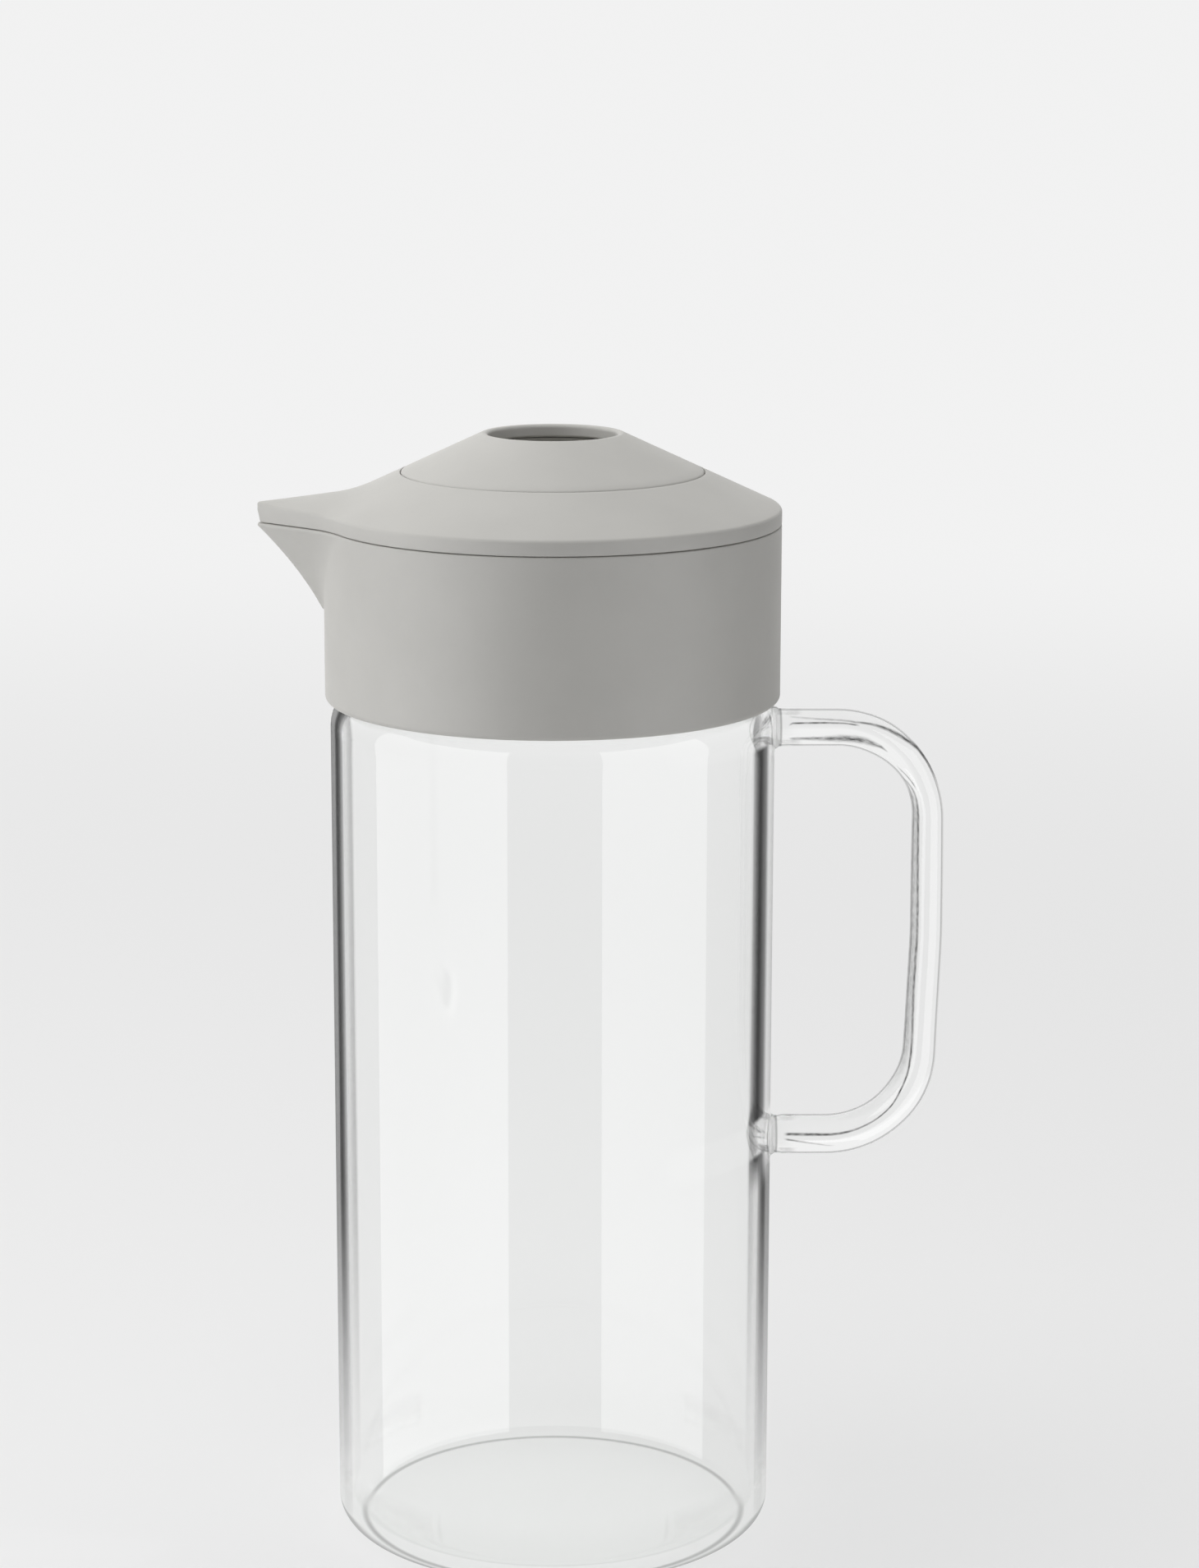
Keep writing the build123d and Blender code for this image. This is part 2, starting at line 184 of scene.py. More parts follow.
def finished(bm, name, body, slot, nodes, sharp_edges=None):
    """Makes a piece of the jug of the mesh, in place of its CAD nodes."""
    piece = object_of(bm, name, finish_of(slot))
    piece.data.shade_smooth()
    if sharp_edges:
        piece.data.set_sharp_from_angle(angle=math.radians(sharp_edges))
    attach(piece, body)
    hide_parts(*nodes)
    return piece


def plastic_piece(bm, name, body, node):
    """Closes the mesh of a moulded piece of the lid, and makes the piece in place of its CAD node."""
    closed_up(bm)
    finished(bm, name, body, "lid_plastic", (node,), SHARP_EDGES)


def staged(bm, name, material):
    """Makes a thing of the studio of the mesh."""
    thing = object_of(bm, name, material)
    return thing


def fill(tree, node, sockets):
    """Fills a node's sockets with values or with other nodes' outputs."""
    for name, value in sockets.items():
        if isinstance(value, bpy.types.NodeSocket):
            tree.links.new(value, node.inputs[name])
        else:
            node.inputs[name].default_value = value


def add_node(tree, kind, sockets, **options):
    """A new node with its options, and with its sockets filled."""
    node = tree.nodes.new(kind)
    for option, choice in options.items():
        setattr(node, option, choice)
    fill(tree, node, sockets)
    return node


def new_material(name, kind="ShaderNodeBsdfPrincipled"):
    """A material with only its shader and its output."""
    material = bpy.data.materials.new(name)
    material.use_nodes = True
    tree = material.node_tree
    tree.nodes.clear()
    shader = tree.nodes.new(kind)
    out = add_node(tree, "ShaderNodeOutputMaterial", {"Surface": shader.outputs[0]})
    return material, tree, shader, out


def own_place(tree):
    """A piece's own coordinates."""
    return tree.nodes.new("ShaderNodeTexCoord").outputs["Object"]


def own_parts(tree):
    """A piece's own coordinates, and their X and Z."""
    place = own_place(tree)
    parts = add_node(tree, "ShaderNodeSeparateXYZ", {"Vector": place}).outputs
    return place, parts["X"], parts["Z"]


def noise(tree, scale, detail, place):
    """Noise on a place."""
    settings = {"Scale": scale, "Detail": detail, "Vector": place}
    return add_node(tree, "ShaderNodeTexNoise", settings).outputs["Fac"]


def spread(tree, value, low, high):
    """Stretches a 0.3 to 0.7 noise value to the range low to high."""
    span = {"Value": value, "From Min": 0.3, "From Max": 0.7, "To Min": low, "To Max": high}
    return add_node(tree, "ShaderNodeMapRange", span).outputs["Result"]


def rise(tree, value, start, end, low=0.0, high=1.0):
    """A soft rise from low to high while the value goes from start to end."""
    span = {"Value": value, "From Min": start, "From Max": end, "To Min": low, "To Max": high}
    return add_node(tree, "ShaderNodeMapRange", span, interpolation_type="SMOOTHSTEP").outputs["Result"]


def calc(tree, operation, *values):
    """A sum in the node tree, of values and of other nodes' outputs."""
    return add_node(tree, "ShaderNodeMath", dict(enumerate(values)), operation=operation).outputs["Value"]


def times(tree, first, *others):
    """Values multiplied together."""
    for other in others:
        first = calc(tree, "MULTIPLY", first, other)
    return first


def rest_of(tree, value):
    """What a value leaves of 1."""
    return calc(tree, "SUBTRACT", 1.0, value)


def larger(tree, first, second):
    """The larger of two values."""
    return calc(tree, "MAXIMUM", first, second)


def far_from(tree, place, point=(0, 0, 0)):
    """How far a place is from a point."""
    return add_node(tree, "ShaderNodeVectorMath", {0: place, 1: point}, operation="DISTANCE").outputs["Value"]


def off_from(tree, value, line):
    """How far a coordinate is from a line, to either side."""
    return calc(tree, "ABSOLUTE", calc(tree, "SUBTRACT", value, line))


def ramp(tree, value, stops):
    """Levels, or threes of levels, at places along a value from 0 to 1."""
    node = add_node(tree, "ShaderNodeValToRGB", {"Fac": value})
    elements = node.color_ramp.elements
    while len(elements) < len(stops):
        elements.new(0.5)
    for element, stop in zip(elements, stops):
        element.position = stop[0]
        element.color = (*stop[1:], 1) if len(stop) == 4 else (stop[1], stop[1], stop[1], 1)
    return node.outputs["Color"]


def mixed(tree, share, first, second):
    """Two shaders mixed: the first at a share of 0, and the second at a share of 1."""
    return add_node(tree, "ShaderNodeMixShader", {"Fac": share, 1: first, 2: second}).outputs["Shader"]


def straight(tree, colour):
    """A shader that lets tinted light straight through."""
    return add_node(tree, "ShaderNodeBsdfTransparent", {"Color": (*colour, 1)}).outputs["BSDF"]


def edge_on(tree, lean=0.0):
    """How edge-on a surface is seen, from 0 to 1, with its normal leaned up by a share."""
    weight = add_node(tree, "ShaderNodeLayerWeight", {"Blend": 0.5})
    if lean:
        normal = tree.nodes.new("ShaderNodeNewGeometry").outputs["Normal"]
        leaned = add_node(tree, "ShaderNodeVectorMath", {0: normal, 1: (0, 0, lean)}).outputs["Vector"]
        unit = add_node(tree, "ShaderNodeVectorMath", {0: leaned}, operation="NORMALIZE").outputs["Vector"]
        fill(tree, weight, {"Normal": unit})
    return weight.outputs["Facing"]


def going_in(tree):
    """1 where the light goes from air into glass, and 0 where it comes out."""
    return rest_of(tree, tree.nodes.new("ShaderNodeNewGeometry").outputs["Backfacing"])


# The moulded pieces' clouds of tone: how dark, how light and how fine
TONE_DARK, TONE_LIGHT, TONE_SCALE = 0.975, 1.02, 60
# How strongly their grain tells in height and in roughness
GRAIN_HEIGHT, GRAIN_GLOSS = 0.35, 0.05


def moulded(name, colour, roughness, grain_scale, grain_depth):
    """Matte moulded finish: faint clouds of tone, fine spark-eroded grain in height and gloss."""
    material, tree, shader, _ = new_material(name)
    place = own_place(tree)
    darker = (*[c * TONE_DARK for c in colour], 1)
    lighter = (*[min(1, c * TONE_LIGHT) for c in colour], 1)
    clouds = spread(tree, noise(tree, TONE_SCALE, 4, place), 0.0, 1.0)
    tone = add_node(tree, "ShaderNodeMix", {"Factor": clouds, "A": darker, "B": lighter}, data_type="RGBA")
    grain = noise(tree, grain_scale, 3, place)
    bump = add_node(tree, "ShaderNodeBump", {
        "Strength": GRAIN_HEIGHT, "Distance": grain_depth, "Height": grain})
    fill(tree, shader, {
        "Base Color": tone.outputs["Result"],
        "Roughness": spread(tree, grain, roughness - GRAIN_GLOSS, roughness + GRAIN_GLOSS),
        "Normal": bump.outputs["Normal"],
    })
    return material


# Share of the light let by, against how edge-on the wall is seen: painted shade, the dark lines along the
# jar's edges that stand in for dark surroundings seen through the glass
WALL_LEFT = ((0, 1), (0.655, 0.97), (0.682, 0.88), (0.698, 0.5), (0.714, 0.38), (0.733, 0.2), (0.765, 0.1),
             (0.785, 0.11), (0.805, 0.2), (0.817, 0.38), (0.867, 0.42), (1, 0.4))
WALL_RIGHT = ((0, 1), (0.572, 0.97), (0.586, 0.85), (0.603, 0.46), (0.633, 0.2), (0.66, 0.08), (0.68, 0.08),
              (0.72, 0.2), (0.745, 0.28), (0.77, 0.6), (0.8, 0.92), (0.86, 0.88), (1, 0.7))
INSIDE_LEFT = ((0, 1), (0.70, 1), (0.724, 0.87), (0.738, 0.56), (0.78, 0.58), (0.815, 0.7), (0.86, 0.85),
               (1, 0.9))
INSIDE_RIGHT = ((0, 1), (0.70, 1), (1, 0.9))
# How far the wall's normal leans up, and what brings its edge-on level back to that of the plain normal:
# a factor, a share of the height and a constant
LEAN = 0.3
LEAN_FACTOR, LEAN_HEIGHT, LEAN_START = 1.044, -0.279, 0.0714
# Of the soft rises named here, each gives where it starts and ends, and its levels there if not 0 and 1.
# Where the wall is on the handle's side and over the lower bar, and how the painted lines fade towards the
# foot
HANDLE_SIDE, HANDLE_UP, LINES_UP = (-0.02, 0.02), (0.088, 0.1), (0.0, 0.095, 0.12)
# How far inside the wall's surface a weld's middle lies, and how near it the wall's painted lines end
WELD_IN, WELD_NEAR = 0.001, (0.0080, 0.0068)
# Where the glass lets the light straight through instead of bending it: down at the foot, and at a weld
FOOT_PLAIN, WELD_PLAIN = (0.018, 0.0055), (0.0092, 0.0050, 0.8)
# Painted shade: share of the light held back beside the welds, a dark fringe where the wall's hollow and bead
# are seen edge-on
WELD_PAINTED_FRINGE = ((0, 0), (0.70, 0), (0.75, 0.6), (0.80, 0.04), (0.95, 0), (1, 0.6))
# The band of the wall above each bar where the painted lines break off: how far up, how high, and how far
# across
BAND_HIGH, BAND_LOW, BAND_HALF, BAND_ACROSS = 0.0036, 0.0054, (0.0036, 0.0052, 0.15), (0.03, 0.02, 0.0, 0.01)
# Radius, half width, darkness and height of the painted dark ring on the jar's foot
RING_RADIUS, RING_HALF, RING_PAINTED_DARK, RING_UP = 0.0475, 0.0012, 0.36, (0.0004, 0.0001)
# The painted dark line at the foot's outline: how edge-on, how high, and how it grows to both sides
FOOT_EDGE, FOOT_UP, FOOT_ASIDE = (0.55, 0.8), (0.006, 0.0045), (0.005, 0.035, 0.1, 0.4)
# Tints of light that goes straight through a surface of the glass, when seen and in shadows
SEEN_TINT = (0.985, 0.988, 0.985)
SHADOW_TINT = (0.965, 0.97, 0.967)
# The handle rod's painted dark rim, and its painted dark streaks that stand in for dark surroundings seen
# through the rod: place along the rod, then place across, width and darkness
ROD_PAINTED_RIM = ((0, 1), (0.55, 1), (0.62, 0.55), (0.7, 0.66), (0.85, 0.85), (1, 0.8))
ROD_PAINTED_STREAKS = (
    ((0.222, 0.025, 0.033, 0), (0.237, 0.105, 0.044, 0.45), (0.261, 0.168, 0.05, 0.65),
     (0.3, 0.151, 0.061, 0.81), (0.453, 0.183, 0.066, 0.75), (0.589, 0.167, 0.066, 0.78),
     (0.674, 0.208, 0.055, 0.81), (0.713, 0.21, 0.05, 0.88), (0.739, 0.251, 0.044, 0.88),
     (0.769, 0.286, 0.039, 0.91), (0.804, 0.356, 0.033, 0.91), (0.837, 0.376, 0.033, 0.72),
     (0.869, 0.385, 0.039, 0.72), (0.908, 0.395, 0.05, 0.95), (0.96, 0.391, 0.061, 0.95),
     (1, 0.381, 0.061, 0.95)),
    ((0, 0.861, 0.033, 0.26), (0.045, 0.805, 0.039, 0.39), (0.082, 0.776, 0.039, 0.45),
     (0.106, 0.758, 0.044, 0.65), (0.131, 0.807, 0.05, 0.85), (0.157, 0.851, 0.07, 0.95),
     (0.184, 0.903, 0.075, 0.95), (0.203, 0.963, 0.07, 0.95), (0.244, 0.986, 0.055, 0.8),
     (0.27, 0.996, 0.033, 0), (0.5, 0.866, 0.033, 0), (0.915, 0.701, 0.033, 0),
     (0.928, 0.686, 0.033, 0.33), (1, 0.502, 0.044, 0.78)),
    ((0, 0.638, 0.044, 0.95), (0.008, 0.7, 0.039, 0.95), (0.059, 0.71, 0.039, 0.95),
     (0.105, 0.694, 0.033, 0.78), (0.113, 0.7, 0.033, 0), (0.2, 0.164, 0.033, 0),
     (0.213, 0.168, 0.033, 0.52), (0.247, 0.25, 0.033, 0.65), (0.255, 0.255, 0.033, 0)),
    ((0, 0.285, 0.066, 0.52), (0.025, 0.285, 0.077, 0.72), (0.046, 0.282, 0.099, 0.72),
     (0.066, 0.28, 0.121, 0.78), (0.082, 0.283, 0.154, 0.85), (0.1, 0.29, 0.154, 0.91),
     (0.12, 0.318, 0.154, 0.85), (0.134, 0.329, 0.143, 0.72), (0.146, 0.333, 0.099, 0.72),
     (0.157, 0.351, 0.066, 0.78), (0.167, 0.33, 0.033, 0.52), (0.172, 0.327, 0.033, 0),
     (0.24, 0.083, 0.066, 0), (0.27, 0.071, 0.132, 0.39), (0.68, 0.06, 0.176, 0.39),
     (0.74, 0.066, 0.132, 0.2), (0.8, 0.035, 0.11, 0)),
)
# Share of the rod where the painted streaks fade in and out, just before both welds
STREAK_END = 0.01
# The painted streaks' clouds: how far they are drawn out along the rod, how fine, and how faint and how
# strong
CLOUD_DRAWN, CLOUD_SCALE, CLOUD_FAINT, CLOUD_STRONG = 9.0, 9, 0.55, 1.1
# The painted dark ring where the rod goes into its weld: how far outside the wall, and how wide and dark
JOINT_OUT, JOINT_PAINTED_RING = 0.0014, (0.0001, 0.0004, 0.55)


def near_weld(tree, place, bar, start, end, high=1.0):
    """A soft rise towards the weld of a bar."""
    weld = (bpy.context.scene.jug_sizes.jar_radius - WELD_IN, 0, bar)
    return rise(tree, far_from(tree, place, weld), start, end, 0.0, high)


def painted_foot_lines(tree, place, x, z, inward, dark):
    """The painted dark ring on the jar's foot, and a thin painted dark line at the foot's outline that grows
    to both sides.
    """
    out = far_from(tree, place)
    ring = times(tree, rise(tree, out, RING_RADIUS - RING_HALF, RING_RADIUS),
                 rise(tree, out, RING_RADIUS + RING_HALF, RING_RADIUS), rise(tree, z, *RING_UP))
    outline = times(tree, rise(tree, edge_on(tree), *FOOT_EDGE), rise(tree, z, *FOOT_UP))
    aside = rise(tree, calc(tree, "ABSOLUTE", x), *FOOT_ASIDE)
    return larger(tree, larger(tree, dark, times(tree, ring, RING_PAINTED_DARK)), times(tree, outline, aside, inward))


def wall_painted_lines(tree, left, right, outside):
    """Light let by the jar's wall: full but for painted dark lines at its edges, which fade towards the foot.
    """
    sizes = bpy.context.scene.jug_sizes
    place, x, z = own_parts(tree)
    inward = going_in(tree)
    # The normal leans up, so that the painted lines stay at the jar's edges when it is seen from above
    edge = calc(tree, "MULTIPLY_ADD", edge_on(tree, LEAN), LEAN_FACTOR,
                calc(tree, "MULTIPLY_ADD", z, LEAN_HEIGHT, LEAN_START))
    # The handle's side has its own painted lines, down to just under the lower bar
    handle_side = times(tree, rise(tree, x, *HANDLE_SIDE), rise(tree, z, *HANDLE_UP))
    lines = add_node(tree, "ShaderNodeMix", {
        "Factor": handle_side, "A": ramp(tree, edge, left), "B": ramp(tree, edge, right)}, data_type="FLOAT")
    dark = times(tree, rest_of(tree, lines.outputs["Result"]), rise(tree, z, *LINES_UP), inward)
    for band in (sizes.handle_high + BAND_HIGH, sizes.handle_low + BAND_LOW):
        off = calc(tree, "ADD", off_from(tree, z, band), rise(tree, x, *BAND_ACROSS))
        dark = times(tree, dark, rise(tree, off, *BAND_HALF))
    # Painted shade beside the welds: a dark fringe where the hollow and bead are seen edge-on
    fringe = times(tree, ramp(tree, edge, WELD_PAINTED_FRINGE), inward)
    for bar in (sizes.handle_high, sizes.handle_low):
        near = near_weld(tree, place, bar, *WELD_NEAR)
        dark = larger(tree, times(tree, dark, rest_of(tree, near)), times(tree, fringe, near))
    if outside:
        dark = painted_foot_lines(tree, place, x, z, inward, dark)
    return rest_of(tree, dark)


def rod_painted_streaks(tree):
    """Light let by the rod: painted shade makes it darker at its rim and along the streaks drawn into it."""
    across, along = (add_node(tree, "ShaderNodeAttribute", {}, attribute_name=name).outputs["Fac"]
                     for name in ("rod_side", "rod_run"))
    drawn = add_node(tree, "ShaderNodeCombineXYZ", {"X": times(tree, along, CLOUD_DRAWN), "Y": across})
    cloud = spread(tree, noise(tree, CLOUD_SCALE, 4, drawn.outputs["Vector"]), CLOUD_FAINT, CLOUD_STRONG)
    cloud = times(tree, cloud, rise(tree, along, 0.0, STREAK_END), rise(tree, along, 1.0, 1 - STREAK_END))
    # Painted shade: the rod's dark rim and streaks stand in for dark surroundings seen through it
    level = ramp(tree, edge_on(tree), ROD_PAINTED_RIM)
    half = calc(tree, "MULTIPLY_ADD", across, 0.5, 0.5)
    for stops in ROD_PAINTED_STREAKS:
        streak = add_node(tree, "ShaderNodeSeparateColor", {"Color": ramp(tree, along, stops)}).outputs
        off = calc(tree, "DIVIDE", off_from(tree, half, streak["Red"]), streak["Green"])
        dark = times(tree, rise(tree, off, 1.0, 0.0), streak["Blue"], cloud)
        level = times(tree, level, rest_of(tree, dark))
    joint = bpy.context.scene.jug_sizes.jar_radius + JOINT_OUT
    level = times(tree, level, rise(tree, off_from(tree, own_parts(tree)[1], joint), *JOINT_PAINTED_RING))
    return rest_of(tree, times(tree, rest_of(tree, level), going_in(tree)))


def clear_glass(name, colour, level_of, *settings):
    """Clear glass with painted dark edge lines, that lets the lamps' light through to the floor."""
    material, tree, shader, out = new_material(name)
    fill(tree, shader, {"Base Color": (*colour, 1), "Roughness": 0, "IOR": 1.47, "Transmission Weight": 1})
    sizes = bpy.context.scene.jug_sizes
    place, _, z = own_parts(tree)
    # Bending the light darkens the foot and the welds, so they let it, or a share of it, straight through
    plain = rise(tree, z, *FOOT_PLAIN)
    for bar in (sizes.handle_high, sizes.handle_low):
        plain = larger(tree, plain, near_weld(tree, place, bar, *WELD_PLAIN))
    glass = mixed(tree, plain, shader.outputs["BSDF"], straight(tree, SEEN_TINT))
    # Painted shade: where the level is low, a black see-through shader darkens the glass
    painted_dark = mixed(tree, level_of(tree, *settings), straight(tree, (0, 0, 0)), glass)
    in_shadow = tree.nodes.new("ShaderNodeLightPath").outputs["Is Shadow Ray"]
    fill(tree, out, {"Surface": mixed(tree, in_shadow, painted_dark, straight(tree, SHADOW_TINT))})
    return material


def finish_of(name):
    """The jug's materials by name, made once."""
    colours = bpy.context.scene.jug_colours
    if name in bpy.data.materials and bpy.data.materials[name].get("jug_finish"):
        return bpy.data.materials[name]
    if name == "clear_glass":
        material = clear_glass(name, colours.glass, wall_painted_lines, WALL_LEFT, WALL_RIGHT, True)
    elif name == "clear_glass_inside":
        material = clear_glass(name, colours.glass, wall_painted_lines, INSIDE_LEFT, INSIDE_RIGHT, False)
    elif name == "clear_glass_rod":
        material = clear_glass(name, colours.glass, rod_painted_streaks)
    elif name == "lid_plastic":
        material = moulded(name, colours.plastic, roughness=0.58, grain_scale=2600, grain_depth=0.00003)
    else:
        material = moulded(name, colours.silicone, roughness=0.42, grain_scale=900, grain_depth=0.00001)
    material["jug_finish"] = True
    return material


# Rows of faces to each side of a weld's middle that its hole takes
HOLE_ROWS = 5
# Rows of faces on the jar's floor, as shares of its radius, and on its wall under and over the lower weld
FLOOR_ROWS = (0.25, 0.5, 0.75, 0.9, 0.985)
LOW_ROWS, MIDDLE_ROWS = (0.03, 0.055, 0.08), (0.13, 0.155, 0.175)
# A row this far beside a rounding keeps the shading of the flat next to it even
BESIDE = 0.0004
# Degrees that the shoulder turns in before the neck's hollow rounding takes over
SHOULDER_TURN = 60
# How far down from the rim the neck has a row of faces
NECK_ROW = 0.012


def shoulder_r(sizes, inset, z):
    """Radius of the wall or shoulder at a height, for the outside or a surface inset from it."""
    radius = sizes.shoulder_radius - inset
    above = max(0.0, z - sizes.shoulder_height)
    return sizes.jar_radius - sizes.shoulder_radius + math.sqrt(max(0.0, radius ** 2 - above ** 2))


def weld_rows(sizes):
    """Heights of the rows of faces at both welds, and their spacing."""
    step = sizes.jar_radius * 2 * math.pi / sizes.segments
    low, high = ([bar + step * k for k in range(-HOLE_ROWS, HOLE_ROWS + 1)]
                 for bar in (sizes.handle_low, sizes.handle_high))
    return low, high, step


def jar_side(sizes, inset, floor, corner):
    """Half section of the jar from its floor's middle up to the neck, outside or inside."""
    radius = sizes.jar_radius - inset
    low, high, step = weld_rows(sizes)
    points = [(0, floor)] + [((radius - corner) * share, floor) for share in FLOOR_ROWS]
    points += arc(radius - corner, floor + corner, corner, -90, 0, 14)
    rows = (floor + corner + BESIDE, *LOW_ROWS, low[0] - step, *low, low[-1] + step, *MIDDLE_ROWS,
            high[0] - step, *high)
    points += [(shoulder_r(sizes, inset, z), z) for z in rows]
    shoulder = sizes.shoulder_radius - inset
    start = math.degrees(math.asin(min(0.99, (high[-1] - sizes.shoulder_height) / shoulder)))
    middle = sizes.jar_radius - sizes.shoulder_radius
    if start < SHOULDER_TURN - 1:
        points += arc(middle, sizes.shoulder_height, shoulder, start, SHOULDER_TURN, 6)[1:]
    blend = sizes.neck_blend + inset
    turned = math.radians(SHOULDER_TURN)
    centre_r = middle + (shoulder + blend) * math.cos(turned)
    centre_z = sizes.shoulder_height + (shoulder + blend) * math.sin(turned)
    points += arc(centre_r, centre_z, blend, 180 + SHOULDER_TURN, 180, 8)[1:]
    return points


# Length of the rod's straight steps, and degrees of its bent ones
ROD_STEP, ROD_TURN = 0.003, 3.5
# How far outside the wall the rod's line starts, and its radius at the upper bend, grip and lower bend
ROD_START, ROD_BENDS = 0.0030, (0.0224, 0.120, 0.023)
# How far the grip is under the upper bar, and how far out it and the lower bend are from the upper bend
GRIP_DOWN, GRIP_OUT, LOWER_OUT = 0.052, 0.0003, -0.0017


def handle_line(sizes):
    """Points along the rod's centre line with their directions, from the upper weld to the lower one."""
    start_x = sizes.jar_radius + ROD_START
    corners = [Vector(corner) for corner in (
        (start_x, sizes.handle_high),
        (sizes.handle_reach, sizes.handle_high),
        (sizes.handle_reach + GRIP_OUT, sizes.handle_high - GRIP_DOWN),
        (sizes.handle_reach + LOWER_OUT, sizes.handle_low),
        (start_x, sizes.handle_low))]
    points = [(corners[0], Vector((1, 0)))]

    def straight_run(last, end, along):
        runs = max(1, int((end - last).length / ROD_STEP))
        return [(last.lerp(end, i / runs), along) for i in range(1, runs + 1)]

    for before, here, after, radius in zip(corners, corners[1:], corners[2:], ROD_BENDS):
        along = (here - before).normalized()
        bend = along.angle((after - here).normalized())
        first = here - along * (radius * math.tan(bend / 2))
        centre = first + Vector((along.y, -along.x)) * radius
        points += straight_run(points[-1][0], first, along)[:-1]
        steps = max(2, int(math.degrees(bend) / ROD_TURN))
        for i in range(steps + 1):
            spin = Matrix.Rotation(-bend * i / steps, 2)
            points.append((centre + spin @ (first - centre), spin @ along))
    return points + straight_run(points[-1][0], corners[-1], Vector((-1, 0)))


# How deep the rod is at shares of its length, as a share of its plain radius
ROD_DEPTHS = ((0.0, 1.0), (0.12, 0.99), (0.31, 0.82), (0.46, 0.87), (0.60, 0.88), (0.78, 1.04), (0.90, 1.08),
              (1.0, 1.08))


def rod_depth(place):
    """How deep the rod is at a share of its length, as a share of its plain radius."""
    for (low, low_depth), (high, high_depth) in zip(ROD_DEPTHS, ROD_DEPTHS[1:]):
        if place <= high:
            share = (place - low) / (high - low)
            share = share * share * (3 - 2 * share)
            return low_depth + (high_depth - low_depth) * share
    return ROD_DEPTHS[-1][1]


def on_inside(sizes, place):
    """Whether a place in the wall belongs to its inside."""
    return place.xy.length < sizes.jar_radius - 0.75 * sizes.jar_wall


def weld_hole(bm, sizes, z):
    """Opens the outer wall at a weld and returns the ring of vertices round the hole."""
    step = weld_rows(sizes)[2]
    half = HOLE_ROWS * step
    faces = []
    for face in bm.faces:
        c = face.calc_center_median()
        if c.x > 0 and not on_inside(sizes, c) and abs(c.z - z) < half and abs(c.y) < half * 0.999:
            faces.append(face)
    bmesh.ops.delete(bm, geom=faces, context="FACES")
    edges = [e for e in bm.edges if e.is_boundary and abs(e.verts[0].co.z - z) < half + step]
    verts = {v for e in edges for v in e.verts}
    return sorted(verts, key=lambda v: turn_of(v.co.z - z, v.co.y))


def weld_ring(sizes, z, count, radius, out, flat):
    """Places of a ring at a weld: on the wall's surface moved out, or flat across the rod."""
    places = []
    for i in range(count):
        angle = 2 * math.pi * i / count
        y = radius * math.cos(angle)
        height = z + radius * math.sin(angle)
        on_wall = math.sqrt(shoulder_r(sizes, 0, height) ** 2 - y ** 2)
        x = on_wall * (1 - flat) + sizes.jar_radius * flat
        places.append(Vector((x + out, y, height)))
    return places


def wall_section(sizes):
    """Half section of the whole jar, from the middle of its foot over its rim to the middle of its floor."""
    outside = jar_side(sizes, 0, 0, sizes.base_corner)
    inside = jar_side(sizes, sizes.jar_wall, sizes.jar_floor, sizes.floor_corner)
    neck, bore = outside[-1][0], outside[-1][0] - sizes.jar_wall
    top, rounding = JAR_HIGH.z, sizes.rim_round
    rim = [(neck, top - NECK_ROW), (neck, top - rounding - BESIDE)]
    rim += arc(neck - rounding, top - rounding, rounding, 0, 90, 7)
    rim += arc(bore + rounding, top - rounding, rounding, 90, 180, 7)
    rim += [(bore, top - rounding - BESIDE), (bore, top - NECK_ROW)]
    return outside + rim + inside[::-1]


# The soft hollow inside the wall behind each weld: its radius, its depths and how its side falls
HOLLOW_RADIUS = 0.0066
HOLLOW_HIGH, HOLLOW_LOW = 0.0030, 0.0023
HOLLOW_FALL = 1.3
# Rings of the bead from the wall to the rod: radius, how far out, and how flat across the rod
BEAD = ((0.0062, 0.0, 0.0), (0.0057, 0.00008, 0.15), (0.0053, 0.0003, 0.5), (0.0051, 0.00055, 0.85),
        (0.0050, 0.00075, 1.0), (0.00485, 0.0009, 1.0), (0.0047, 0.00105, 1.0), (0.00462, 0.0014, 1.0))
# Faces this far outside the wall belong to the rod
ROD_FACES = 0.0009


